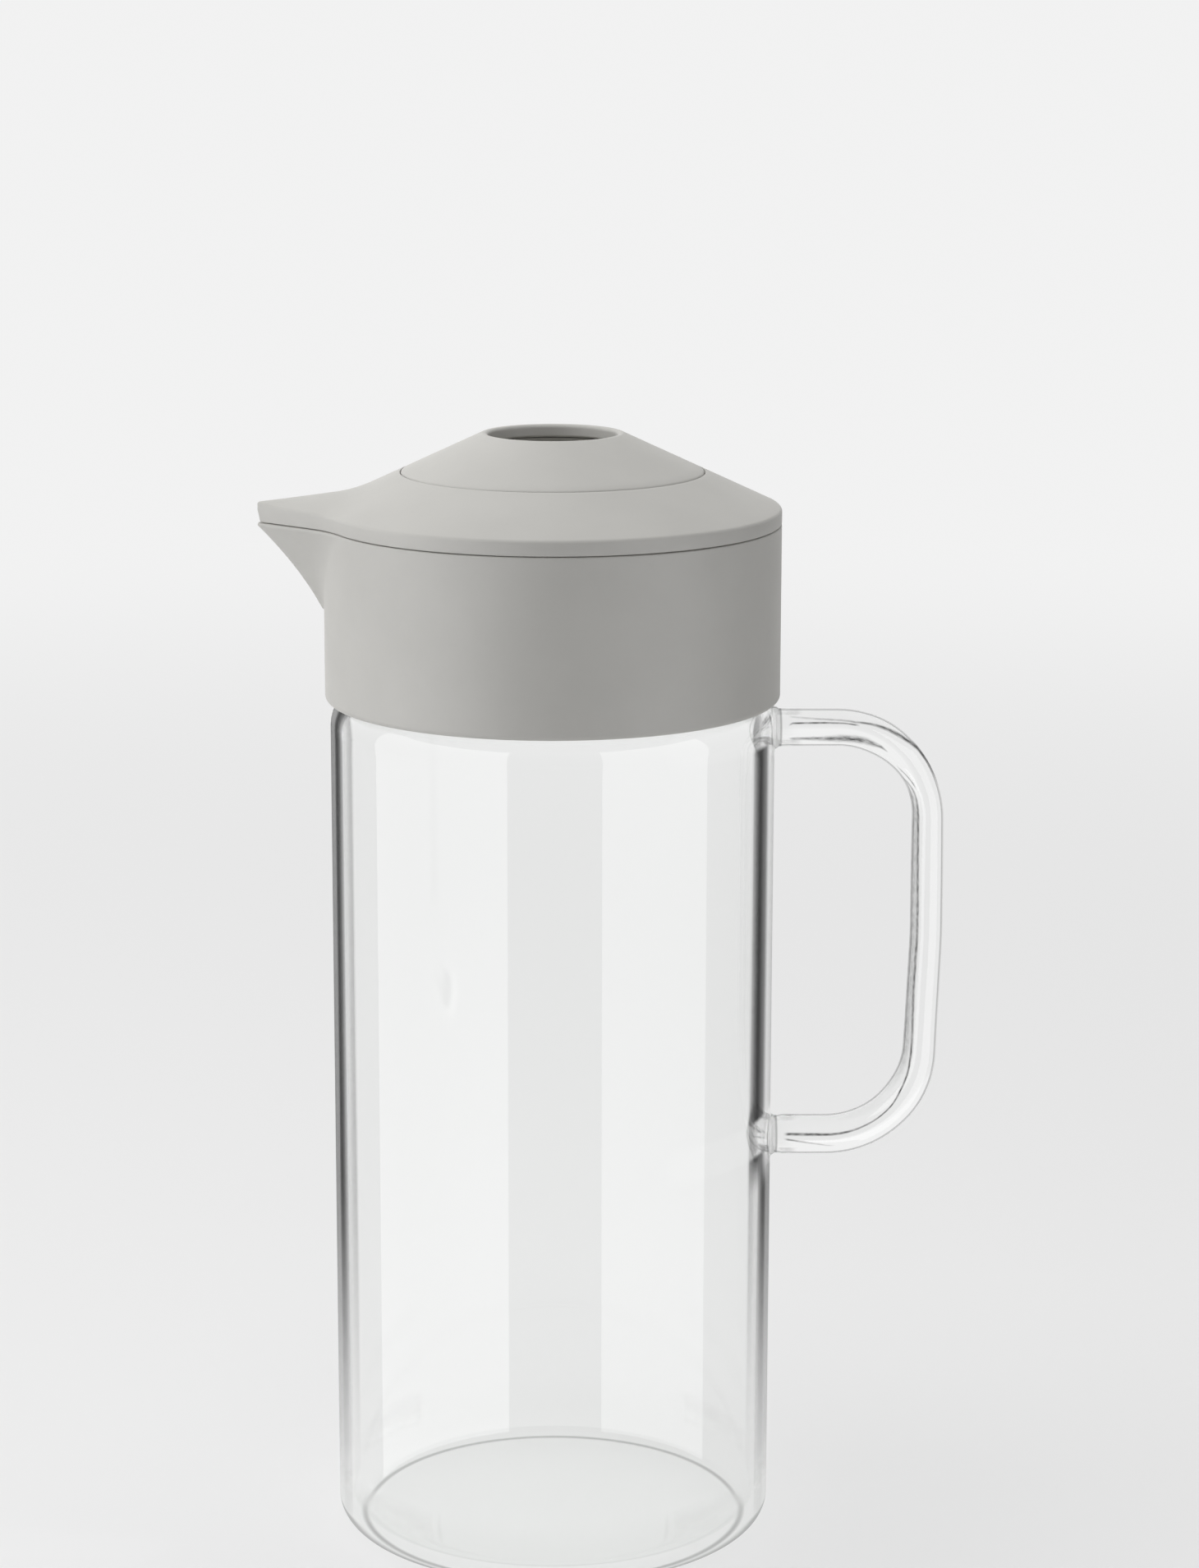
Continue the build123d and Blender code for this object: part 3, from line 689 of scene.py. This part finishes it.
class JUG_OT_glass(bpy.types.Operator):
    """Blow the glass jar and weld its rod handle on"""

    bl_idname = "jug.glass"
    bl_label = "Glass jar and handle"

    def execute(self, context):
        sizes = context.scene.jug_sizes
        bm = bmesh.new()
        side, run = (bm.verts.layers.float.new(name) for name in ("rod_side", "rod_run"))
        spun(bm, wall_section(sizes), sizes.segments)
        bmesh.ops.remove_doubles(bm, verts=bm.verts[:], dist=1e-6)
        self.hollows(bm, sizes)
        upper = weld_hole(bm, sizes, sizes.handle_high)
        lower = weld_hole(bm, sizes, sizes.handle_low)
        count = len(upper)
        across = [math.sin(2 * math.pi * k / count) for k in range(count)]
        for radius, out, flat in BEAD:
            upper = next_ring(bm, upper, weld_ring(sizes, sizes.handle_high, count, radius, out, flat))
            lower = next_ring(bm, lower, weld_ring(sizes, sizes.handle_low, count, radius, out, flat))
            for high_vert, low_vert, height in zip(upper, lower, across):
                high_vert[side], low_vert[side], low_vert[run] = height, -height, 1.0
        line = handle_line(sizes)
        gone = [0.0]
        for (before, _), (after, _) in zip(line, line[1:]):
            gone.append(gone[-1] + (after - before).length)
        for i, (centre, along) in enumerate(line):
            depth = rod_depth(i / (len(line) - 1))
            normal = Vector((-along.y, along.x))
            places = []
            for k in range(count):
                flank = sizes.rod_radius / math.sqrt(depth) * math.cos(2 * math.pi * k / count)
                flat = centre + normal * sizes.rod_radius * depth * across[k]
                places.append(Vector((flat.x, flank, flat.y)))
            upper = next_ring(bm, upper, places)
            for vert, height in zip(upper, across):
                vert[side], vert[run] = height, gone[i] / gone[-1]
        edges = [bm.edges.get(pair) for ring in (upper, lower) for pair in zip(ring, ring[1:] + ring[:1])]
        bmesh.ops.bridge_loops(bm, edges=edges)
        closed_up(bm)
        for face in bm.faces:
            c = face.calc_center_median()
            inner = c.z > sizes.jar_floor * 0.9
            inner = inner and c.xy.length < shoulder_r(sizes, 0, c.z) - sizes.jar_wall / 2
            face.material_index = 2 if c.x > sizes.jar_radius + ROD_FACES else int(inner)
        piece = finished(bm, "jug_glass", "jug", "clear_glass", ("glass_jar", "glass_handle"))
        piece.data.materials.append(finish_of("clear_glass_inside"))
        piece.data.materials.append(finish_of("clear_glass_rod"))
        return {"FINISHED"}

    def hollows(self, bm, sizes):
        """Presses a soft hollow into the inside of the wall behind each weld."""
        for z, depth in ((sizes.handle_high, HOLLOW_HIGH), (sizes.handle_low, HOLLOW_LOW)):
            for vert in bm.verts:
                near = math.hypot(vert.co.y, vert.co.z - z) / HOLLOW_RADIUS
                if vert.co.x > 0 and near < 1 and on_inside(sizes, vert.co):
                    vert.co.x -= depth * (1 - near ** 2) ** HOLLOW_FALL


def beak_line(sizes, share, inset):
    """Tip centre, tip radius, side and hollow of the beak's outline, for a share of its reach."""
    along = Vector((math.cos(sizes.beak_half), math.sin(sizes.beak_half)))
    out = Vector((-along.y, along.x))
    tip = sizes.beak_tip * share
    inner = max(tip - inset, tip * 0.25)
    centre = Vector((tip - sizes.collar_radius - sizes.beak_reach * share
                     + (inset + inner - tip) / math.sin(sizes.beak_half), 0))
    blend = sizes.beak_blend * share + inset
    circle = sizes.collar_radius - inset
    start = centre + out * (inner + blend)
    drop = start.dot(along)
    run = -drop - math.sqrt(max(0.0, drop ** 2 - start.dot(start) + (circle + blend) ** 2))
    return centre, inner, out, start + along * run, blend, run


def turned_from_keel(point):
    """Angle of a point round the axis, from the beak's keel."""
    return math.atan2(point.y, -point.x)


def lid_outline(sizes, angle, share, inset):
    """Radius of the lid's outline at an angle from the keel: a circle drawn out to a beak."""
    circle = sizes.collar_radius - inset
    if share < 0.02:
        return circle
    centre, inner, out, hollow, blend, run = beak_line(sizes, share, inset)
    if inner - centre.x <= circle or run < 0:
        return circle
    ray = Vector((-math.cos(angle), math.sin(abs(angle))))
    side_start = centre + out * inner
    if abs(angle) <= turned_from_keel(side_start):
        near = centre.dot(ray)
        return near + math.sqrt(max(0.0, inner ** 2 - centre.dot(centre) + near ** 2))
    if abs(angle) <= turned_from_keel(hollow - out * blend):
        return out.dot(side_start) / out.dot(ray)
    if abs(angle) <= turned_from_keel(hollow):
        near = hollow.dot(ray)
        return near - math.sqrt(max(0.0, blend ** 2 - hollow.dot(hollow) + near ** 2))
    return circle


def lid_angles(count=320, crowding=0.2):
    """Angles round the lid from its keel, close together at the beak's tip."""
    half = count // 2
    angles = []
    for i in range(count):
        step = i if i <= half else i - count
        share = abs(step) / half
        angles.append(math.copysign(math.pi * (crowding * share + (1 - crowding) * share * share), step))
    return angles


def around(angles, radius, height):
    """Places round the axis, from functions of the angle for the radius and of the place for the height."""
    places = []
    for angle in angles:
        r = radius(angle)
        x, y = -r * math.cos(angle), r * math.sin(angle)
        places.append(Vector((x, y, height(x, y))))
    return places


def first_ring(bm, places):
    """A closed ring of vertices to extrude from."""
    ring = bmesh.ops.create_circle(bm, cap_ends=False, segments=len(places), radius=1)["verts"]
    ring.sort(key=lambda v: turn_of(v.co.y, v.co.x))
    for vert, place in zip(ring, places):
        vert.co = place
    return ring


def stacked(bm, rows):
    """A surface through closed rows of places, from the first to the last."""
    ring = first_ring(bm, rows[0])
    for places in rows[1:]:
        ring = next_ring(bm, ring, places)


# How fast the beak's keel runs in on its way down, how much that eases off, and its rows of faces
KEEL_FALL, KEEL_EASE, KEEL_ROWS = 1.265, 0.295, 26
# How far down the keel its trough goes, and the trough's rows of faces
TROUGH_DEPTH, TROUGH_ROWS = 0.67, 14


def beak_share(sizes, top, z):
    """Share of the beak's reach at a height under its lip: the keel runs in on a slight curve."""
    low = (top - z) / sizes.beak_depth
    if low <= 0:
        return 1.0
    return max(0.0, 1 - KEEL_FALL * low + KEEL_EASE * low * low) if low <= 1 else 0.0


class JUG_OT_collar(bpy.types.Operator):
    """Mould the collar with its beak spout"""

    bl_idname = "jug.collar"
    bl_label = "Collar"

    def execute(self, context):
        sizes = context.scene.jug_sizes
        low = COLLAR_LOW.z
        top = (COLLAR_HIGH.z + COVER_SEAT) / 2 - sizes.seam / 2
        lip = top - 0.0007
        corner, wall, edge = sizes.collar_corner, sizes.collar_wall, 0.0004
        groove_top, groove_low, groove = 0.2365, 0.2347, wall + 0.0016
        relief_top, relief, plain_row = 0.2110, wall + 0.0009, 0.2195
        rows = [(0.0, wall, low)]
        for r, z in arc(0, 0, corner, -90, 0, 8):
            rows.append((0.0, corner - r, low + corner + z))
        rows += [(0.0, 0.0, z) for z in (low + corner + BESIDE, plain_row, lip - sizes.beak_depth - 0.0003)]
        for i in range(KEEL_ROWS + 1):
            z = lip - sizes.beak_depth * (1 - i / KEEL_ROWS)
            rows.append((beak_share(sizes, lip, z), 0.0, z))
        for r, z in arc(0, 0, edge, 0, 90, 4):
            rows.append((1.0, edge - r, top - edge + z))
        trough_low = lip - TROUGH_DEPTH * sizes.beak_depth
        rows += [(1.0, wall - edge, top), (1.0, wall, top - edge)]
        for i in range(TROUGH_ROWS + 1):
            z = lip + (trough_low - lip) * i / TROUGH_ROWS
            rows.append((beak_share(sizes, lip, z), wall, z))
        rows += [(0.0, inset, z) for inset, z in (
            (wall, trough_low), (wall, groove_top), (groove, groove_top), (groove, groove_low),
            (wall, groove_low), (wall, relief_top), (relief, relief_top), (relief, low + 0.0002),
            (wall + 0.0007, low), (wall, low))]
        bm = bmesh.new()
        angles = lid_angles()
        stacked(bm, [around(angles, lambda a: lid_outline(sizes, a, share, inset), lambda x, y: z)
                     for share, inset, z in rows])
        plastic_piece(bm, "jug_collar", "lid", "collar")
        return {"FINISHED"}


def soft_max(a, b, width):
    """The larger of two heights, with the step between them rounded over a width."""
    near = max(width - abs(a - b), 0) / width
    return max(a, b) + near * near * width / 4


def cone_z(sizes, radius):
    """Height of the lid's cone at a radius."""
    return BAND_TOP + (sizes.collar_radius - radius) * math.tan(sizes.cone_slope)


# The beak's roof: how far inside the rim its far end is, its crown at the tip and what that gains to the far
# end, where it is left off, and how widely it is rounded into the cone and into the flat
ROOF_INSIDE, ROOF_CROWN, ROOF_GAIN, ROOF_LEFT = 0.009, 0.0013, 0.0026, 1.6
ROOF_TO_CONE, ROOF_TO_FLAT = 0.0016, 0.0002


def lid_top_z(sizes, x, y):
    """Height of the cover's top: the cone, with the beak's crowned roof run into it."""
    cone = max(cone_z(sizes, math.hypot(x, y)), BAND_TOP)
    nose = -(sizes.collar_radius + sizes.beak_reach)
    foot = -(sizes.collar_radius - ROOF_INSIDE)
    share = (x - nose) / (foot - nose)
    half = sizes.beak_tip + max(0.0, x - nose) * math.tan(sizes.beak_half)
    crown = ROOF_CROWN + ROOF_GAIN * share
    if abs(y) >= half or share > ROOF_LEFT:
        return cone
    radius = (half ** 2 + crown ** 2) / (2 * crown)
    roof = BAND_TOP + crown - radius + math.sqrt(radius ** 2 - y ** 2)
    return soft_max(cone, roof, ROOF_TO_CONE if cone > BAND_TOP else ROOF_TO_FLAT)


# The pouring mouth at the beak's tip: where it ends, its half width and its height
MOUTH_END, MOUTH_HALF, MOUTH_HEIGHT = -0.060, 0.0011, 0.0026
# Rows of faces on the cover's rounded rim, its top and its underside
RIM_ROWS, TOP_ROWS, UNDER_ROWS = 6, 30, 12


def mouth_z(x, y):
    """How far the beak's pouring mouth rises above the cover's lower edge at a place."""
    if x > MOUTH_END or abs(y) > MOUTH_HALF:
        return 0.0
    return MOUTH_HEIGHT * math.sqrt(1 - (y / MOUTH_HALF) ** 2)


class JUG_OT_cover(bpy.types.Operator):
    """Mould the cover: rim band, cone, beak roof and the ring that centres it in the collar"""

    bl_idname = "jug.cover"
    bl_label = "Cover"

    def execute(self, context):
        sizes = context.scene.jug_sizes
        low = (COLLAR_HIGH.z + COVER_SEAT) / 2 + sizes.seam / 2
        edge, wall, rounding = 0.00035, sizes.lid_wall, sizes.rim_rounding
        upright = wall * 1.1
        angles = lid_angles()
        bm = bmesh.new()

        def band(inset, z, lift=0.0):
            return around(angles, lambda a: lid_outline(sizes, a, 1.0, inset),
                          lambda x, y: z + lift * mouth_z(x, y))

        def top(share, drop, outer_inset, inner):
            def radius(a):
                outer = lid_outline(sizes, a, 1.0, outer_inset)
                return outer + (inner - outer) * share
            return around(angles, radius, lambda x, y: lid_top_z(sizes, x, y) - drop)

        rows = [band(wall, low, 1), band(edge, low, 1)]
        rows += [band(edge - r, low + edge + z, 1) for r, z in arc(0, 0, edge, -90, 0, 3)[1:]]
        rows.append(band(0.0, BAND_TOP - rounding))
        for i in range(1, RIM_ROWS + 1):
            quarter = math.pi / 2 * i / RIM_ROWS
            inset = rounding * (1 - math.cos(quarter))
            fall = rounding * (1 - math.sin(quarter))
            rows.append(top(0.0, fall, inset, 0.0))
        opening = sizes.opening
        rows += [top(i / TOP_ROWS, 0.0, rounding, opening + edge) for i in range(1, TOP_ROWS + 1)]
        mouth = cone_z(sizes, opening)
        ledge, skirt = mouth - 0.0046, mouth - 0.0062
        step, bore = opening - 0.0014, opening + 0.0022
        for r, z in ((opening + edge * 0.3, mouth - edge * 0.3), (opening, mouth - edge), (opening, ledge),
                     (step, ledge), (step, skirt), (bore, skirt), (bore, cone_z(sizes, bore) - upright)):
            rows.append(around(angles, lambda a: r, lambda x, y: z))
        rows += [top(1 - i / UNDER_ROWS, upright, wall, bore) for i in range(UNDER_ROWS)]
        rows += [band(wall, BAND_TOP - upright), band(wall, low, 1)]
        stacked(bm, rows)
        self.locator(bm, sizes)
        plastic_piece(bm, "jug_cover", "cover_part", "cover")
        return {"FINISHED"}

    def locator(self, bm, sizes):
        """Ring under the cover that fits inside the collar, open where the beak runs out."""
        gap, thick, edge = 0.0003, 0.0016, 0.0004
        outer = sizes.collar_radius - sizes.collar_wall - gap
        inner, low, high = outer - thick, COVER_LOW.z, BAND_TOP - 0.0008
        open_half = math.radians(32.3)
        places = [(outer, low + edge), (outer, high), (inner, high), (inner, low), (outer - edge, low)]
        verts = [bm.verts.new((-r * math.cos(open_half), r * math.sin(open_half), z)) for r, z in places]
        face = bm.faces.new(verts)
        bmesh.ops.spin(bm, geom=[face], cent=(0, 0, 0), axis=(0, 0, 1), dvec=(0, 0, 0),
                       angle=-(2 * math.pi - 2 * open_half), steps=120, use_merge=False, use_duplicate=False)


class JUG_OT_cap(bpy.types.Operator):
    """Mould the centre cap with its finger hole, and the closed well under it"""

    bl_idname = "jug.cap"
    bl_label = "Cap and finger well"

    def execute(self, context):
        sizes = context.scene.jug_sizes
        hole, rounding, edge = sizes.finger_hole, sizes.finger_round, 0.00035
        land, top = hole + 0.0014, CAP_HIGH.z
        slope = sizes.cone_slope
        drop = sizes.lid_wall * 0.92 / math.cos(slope)
        outer = cone_z(sizes, sizes.cap_radius)
        edge_low, bore = CAP_LOW.z, sizes.cap_radius - 0.0022
        points = [(sizes.cap_radius, edge_low), (sizes.cap_radius, outer - edge)]
        points += [(sizes.cap_radius - edge * 0.3, outer - edge * 0.25)]
        points += [(sizes.cap_radius - edge * 1.2, cone_z(sizes, sizes.cap_radius - edge * 1.2))]
        points += [(r, cone_z(sizes, r)) for r in (0.034, 0.031, 0.028, 0.025, 0.022, 0.0195)]
        reach = rounding * math.tan(slope / 2)
        start = land + reach * math.cos(slope)
        points += arc(start - rounding * math.sin(slope), top - rounding, rounding,
                      90 - math.degrees(slope), 90, 5)
        points = [p for p in points if p[1] <= top + 1e-9]
        points += arc(hole + rounding, top - rounding, rounding, 90, 180, 7)
        lip_low = top - 0.0029
        points += [(hole, lip_low + 0.0003), (hole + 0.0003, lip_low)]
        under = hole + (cone_z(sizes, hole) - drop - lip_low) / math.tan(slope)
        points += [(under, lip_low), (bore, cone_z(sizes, bore) - drop), (bore, edge_low)]
        bm = bmesh.new()
        spun(bm, points, 256, closed=True)
        plastic_piece(bm, "jug_cap", "cap_part", "cap")
        self.well(sizes)
        return {"FINISHED"}

    def well(self, sizes):
        """The finger well, and the plug round it that fills the throat."""
        floor_top, low = WELL_LOW.z + 0.002, WELL_LOW.z
        bore, plug = 0.0192, WELL_HIGH.y
        radius, ledge = bore + 0.0018, 0.26071
        flange_top, flange_low = ledge - 0.003, ledge - 0.005
        groove_top, groove_low = flange_top - 0.0032, flange_top - 0.0056
        skirt, groove, edge = plug - 0.0019, plug - 0.0008, 0.0003
        points = [(0, low), (radius, low), (radius, flange_low), (skirt, flange_low), (skirt, low)]
        points += [(plug - edge, low), (plug, low + edge), (plug, groove_low), (groove, groove_low)]
        points += [(groove, groove_top), (plug, groove_top), (plug, flange_top - edge)]
        points += [(plug - edge, flange_top), (radius, flange_top), (radius, WELL_HIGH.z - 0.0010)]
        points += [(bore, WELL_HIGH.z - 0.0002)]
        points += [(bore - 0.002 + r, floor_top + 0.002 + z) for r, z in arc(0, 0, 0.002, 0, -90, 8)]
        points += [(0.010, floor_top), (0, floor_top)]
        bm = bmesh.new()
        spun(bm, points, 192)
        plastic_piece(bm, "jug_finger_well", "cap_part", "cap_well")


class JUG_OT_carried(bpy.types.Operator):
    """Give the solids that stay their moulded finish"""

    bl_idname = "jug.carried"
    bl_label = "Deck, throat and seals"

    def execute(self, context):
        for name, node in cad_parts.items():
            if node.hide_render:
                continue
            kind = "seal_silicone" if name.endswith("_seal") else "lid_plastic"
            node.data.materials.clear()
            node.data.materials.append(finish_of(kind))
        return {"FINISHED"}


# How far under the jug the floor lies, how far it goes out, and how it fades into the backdrop
FLOOR_GAP, FLOOR_RADIUS, FLOOR_FADE = 0.0002, 40, (0.25, 1.6, 0.6)
# How pale the floor's far part and the backdrop show
BACKDROP = (0.885, 0.885, 0.885)
# The even light that the backdrop gives
EVEN_LIGHT = (0.22, 0.22, 0.22)
# Soft lamps: place, width, height and watts, all facing one point of the jug
LAMPS = (("lamp_left", (-1.15, 0.05, 0.40), 0.8, 0.9, 4.7), ("lamp_top", (-0.25, 0.06, 1.4), 1.2, 1.2, 12.4))
LAMP_TARGET = (0, 0, 0.2)
# Bright cards: side, degrees round the jug where each starts and ends, and how bright it is there
CARDS = (("card_left", -1, 11.8, 51.8, 3.1, 2.3), ("card_right", 1, 12.4, 43.0, 2.9, 2.5))
# The cards' steps, how far from the jug they start and end, their height, and how soon the start draws in
CARD_STEPS = 12
CARD_START, CARD_END, CARD_HEIGHT, CARD_DRAW = 0.104, 1.2, 0.9, 0.9
# The photograph's camera, fitted to the jug's circles: turns in degrees, place in metres, lens in millimetres
CAMERA_TURNS = (1.108, 12.217, 0.114)
CAMERA_PLACE = (-0.0071, -0.9547, 0.3934)
CAMERA_LENS = 92.17


def seen(tree):
    """1 for the rays that show a surface, straight or in gloss and glass, and 0 for the rest."""
    rays = tree.nodes.new("ShaderNodeLightPath").outputs
    either = larger(tree, rays["Is Camera Ray"], rays["Is Glossy Ray"])
    return larger(tree, either, rays["Is Transmission Ray"])


class JUG_OT_stage(bpy.types.Operator):
    """Set the pale floor, the soft lamps and the camera"""

    bl_idname = "jug.stage"
    bl_label = "Studio"

    def execute(self, context):
        scene = context.scene
        self.floor(scene.jug_colours.floor)
        self.sky(scene)
        self.lamps(scene)
        self.cards(scene.jug_sizes.jar_radius)
        self.camera(scene)
        return {"FINISHED"}

    def floor(self, colour):
        """The floor, which takes the jug's shadow and fades into the backdrop."""
        bm = bmesh.new()
        bmesh.ops.create_circle(bm, cap_ends=True, segments=96, radius=FLOOR_RADIUS)
        bmesh.ops.translate(bm, verts=bm.verts[:], vec=(0, 0, -FLOOR_GAP))
        material, tree, shader, out = new_material("studio_floor")
        fill(tree, shader, {"Base Color": (*colour, 1), "Roughness": 0.8, "Specular IOR Level": 0.1})
        glow = add_node(tree, "ShaderNodeEmission", {"Color": (*BACKDROP, 1)})
        share = times(tree, rise(tree, far_from(tree, own_place(tree)), *FLOOR_FADE), seen(tree))
        fill(tree, out, {"Surface": mixed(tree, share, shader.outputs["BSDF"], glow.outputs["Emission"])})
        staged(bm, "studio_floor", material)

    def sky(self, scene):
        """Pale backdrop all round, and a weaker even light from it."""
        world = bpy.data.worlds.new("studio")
        world.use_nodes = True
        tree = world.node_tree
        tree.nodes.clear()
        even, shown = (add_node(tree, "ShaderNodeBackground", {"Color": (*grey, 1)}).outputs["Background"]
                       for grey in (EVEN_LIGHT, BACKDROP))
        add_node(tree, "ShaderNodeOutputWorld", {"Surface": mixed(tree, seen(tree), even, shown)})
        scene.world = world

    def lamps(self, scene):
        """The key from the left and an even light from overhead, which gloss and glass don't show."""
        for name, place, wide, high, watts in LAMPS:
            data = bpy.data.lights.new(name, "AREA")
            data.shape = "RECTANGLE"
            data.size = wide
            data.size_y = high
            data.energy = watts
            lamp = bpy.data.objects.new(name, data)
            lamp.location = place
            lamp.rotation_euler = (Vector(LAMP_TARGET) - Vector(place)).to_track_quat("-Z", "Y").to_euler()
            lamp.visible_glossy = False
            lamp.visible_transmission = False
            scene.collection.objects.link(lamp)

    def cards(self, radius):
        """Bright cards that only gloss sees: each lies on the floor and stands up at its far edge."""
        for name, side, start, end, bright, faint in CARDS:
            bm = bmesh.new()
            shine = bm.verts.layers.float.new("shine")
            near, far, high = [], [], []
            for i in range(CARD_STEPS + 1):
                angle = math.radians(start + (end - start) * i / CARD_STEPS)
                foot = Vector((side * math.sin(angle), -math.cos(angle), 0)) * (radius + 0.001)
                foot.z = FLOOR_GAP
                # What the camera sees mirrored here lies at twice the angle
                away = Vector((side * math.sin(2 * angle), -math.cos(2 * angle), 0))
                near.append(foot + away * CARD_START * math.sqrt(1 - (math.sin(angle) / CARD_DRAW) ** 2))
                far.append(foot + away * CARD_END)
                high.append(far[-1] + Vector((0, 0, CARD_HEIGHT - FLOOR_GAP)))
            row = [bm.verts.new(place) for place in near]
            for pair in zip(row, row[1:]):
                bm.edges.new(pair)
            for places in (near, far, high):
                if places is not near:
                    row = next_ring(bm, row, places, closed=False)
                for i, vert in enumerate(row):
                    vert[shine] = bright + (faint - bright) * (i / CARD_STEPS) ** 2
            material, tree, glow, _ = new_material(name, "ShaderNodeEmission")
            level = add_node(tree, "ShaderNodeAttribute", {}, attribute_name="shine")
            fill(tree, glow, {"Strength": level.outputs["Fac"]})
            card = staged(bm, name, material)
            card.visible_camera = False
            card.visible_diffuse = False
            card.visible_transmission = False
            card.visible_shadow = False

    def camera(self, scene):
        """The photograph's viewpoint: a long lens, slightly above, looking down."""
        yaw, pitch, roll = (math.radians(a) for a in CAMERA_TURNS)
        forward = Vector((math.sin(yaw) * math.cos(pitch), math.cos(yaw) * math.cos(pitch), -math.sin(pitch)))
        level = Vector((math.cos(yaw), -math.sin(yaw), 0))
        upward = level.cross(forward)
        right = math.cos(roll) * level + math.sin(roll) * upward
        up = math.cos(roll) * upward - math.sin(roll) * level
        data = bpy.data.cameras.new("camera")
        data.lens = CAMERA_LENS
        data.sensor_width = 36
        data.clip_end = 100
        camera = bpy.data.objects.new("camera", data)
        rows = [(*turns, place) for *turns, place in zip(right, up, -forward, CAMERA_PLACE)]
        camera.matrix_world = Matrix((*rows, (0, 0, 0, 1)))
        scene.collection.objects.link(camera)
        scene.camera = camera
        scene.view_settings.view_transform = "Standard"


class JUG_PT_panel(bpy.types.Panel):
    """Sizes, colours and makers of the jug"""

    bl_idname = "JUG_PT_panel"
    bl_label = "Serving jug"
    bl_space_type = "VIEW_3D"
    bl_region_type = "UI"
    bl_category = "Jug"

    def draw(self, context):
        for group in (context.scene.jug_sizes, context.scene.jug_colours):
            box = self.layout.box()
            for name in group.__annotations__:
                box.prop(group, name)
        for maker in MAKERS:
            self.layout.operator(maker.bl_idname)


MAKERS = (JUG_OT_glass, JUG_OT_collar, JUG_OT_cover, JUG_OT_cap, JUG_OT_carried, JUG_OT_stage)
CLASSES = (JugSizes, JugColours, *MAKERS, JUG_PT_panel)


def register():
    """Adds the classes and the scene's groups of sizes and colours."""
    for cls in CLASSES:
        bpy.utils.register_class(cls)
    bpy.types.Scene.jug_sizes = PointerProperty(type=JugSizes)
    bpy.types.Scene.jug_colours = PointerProperty(type=JugColours)


def unregister():
    """Takes them away again."""
    del bpy.types.Scene.jug_colours
    del bpy.types.Scene.jug_sizes
    for cls in reversed(CLASSES):
        bpy.utils.unregister_class(cls)


def main():
    """Makes every piece and the studio."""
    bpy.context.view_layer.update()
    register()
    bpy.ops.jug.glass()
    bpy.ops.jug.collar()
    bpy.ops.jug.cover()
    bpy.ops.jug.cap()
    bpy.ops.jug.carried()
    bpy.ops.jug.stage()


if __name__ == "__main__":
    main()
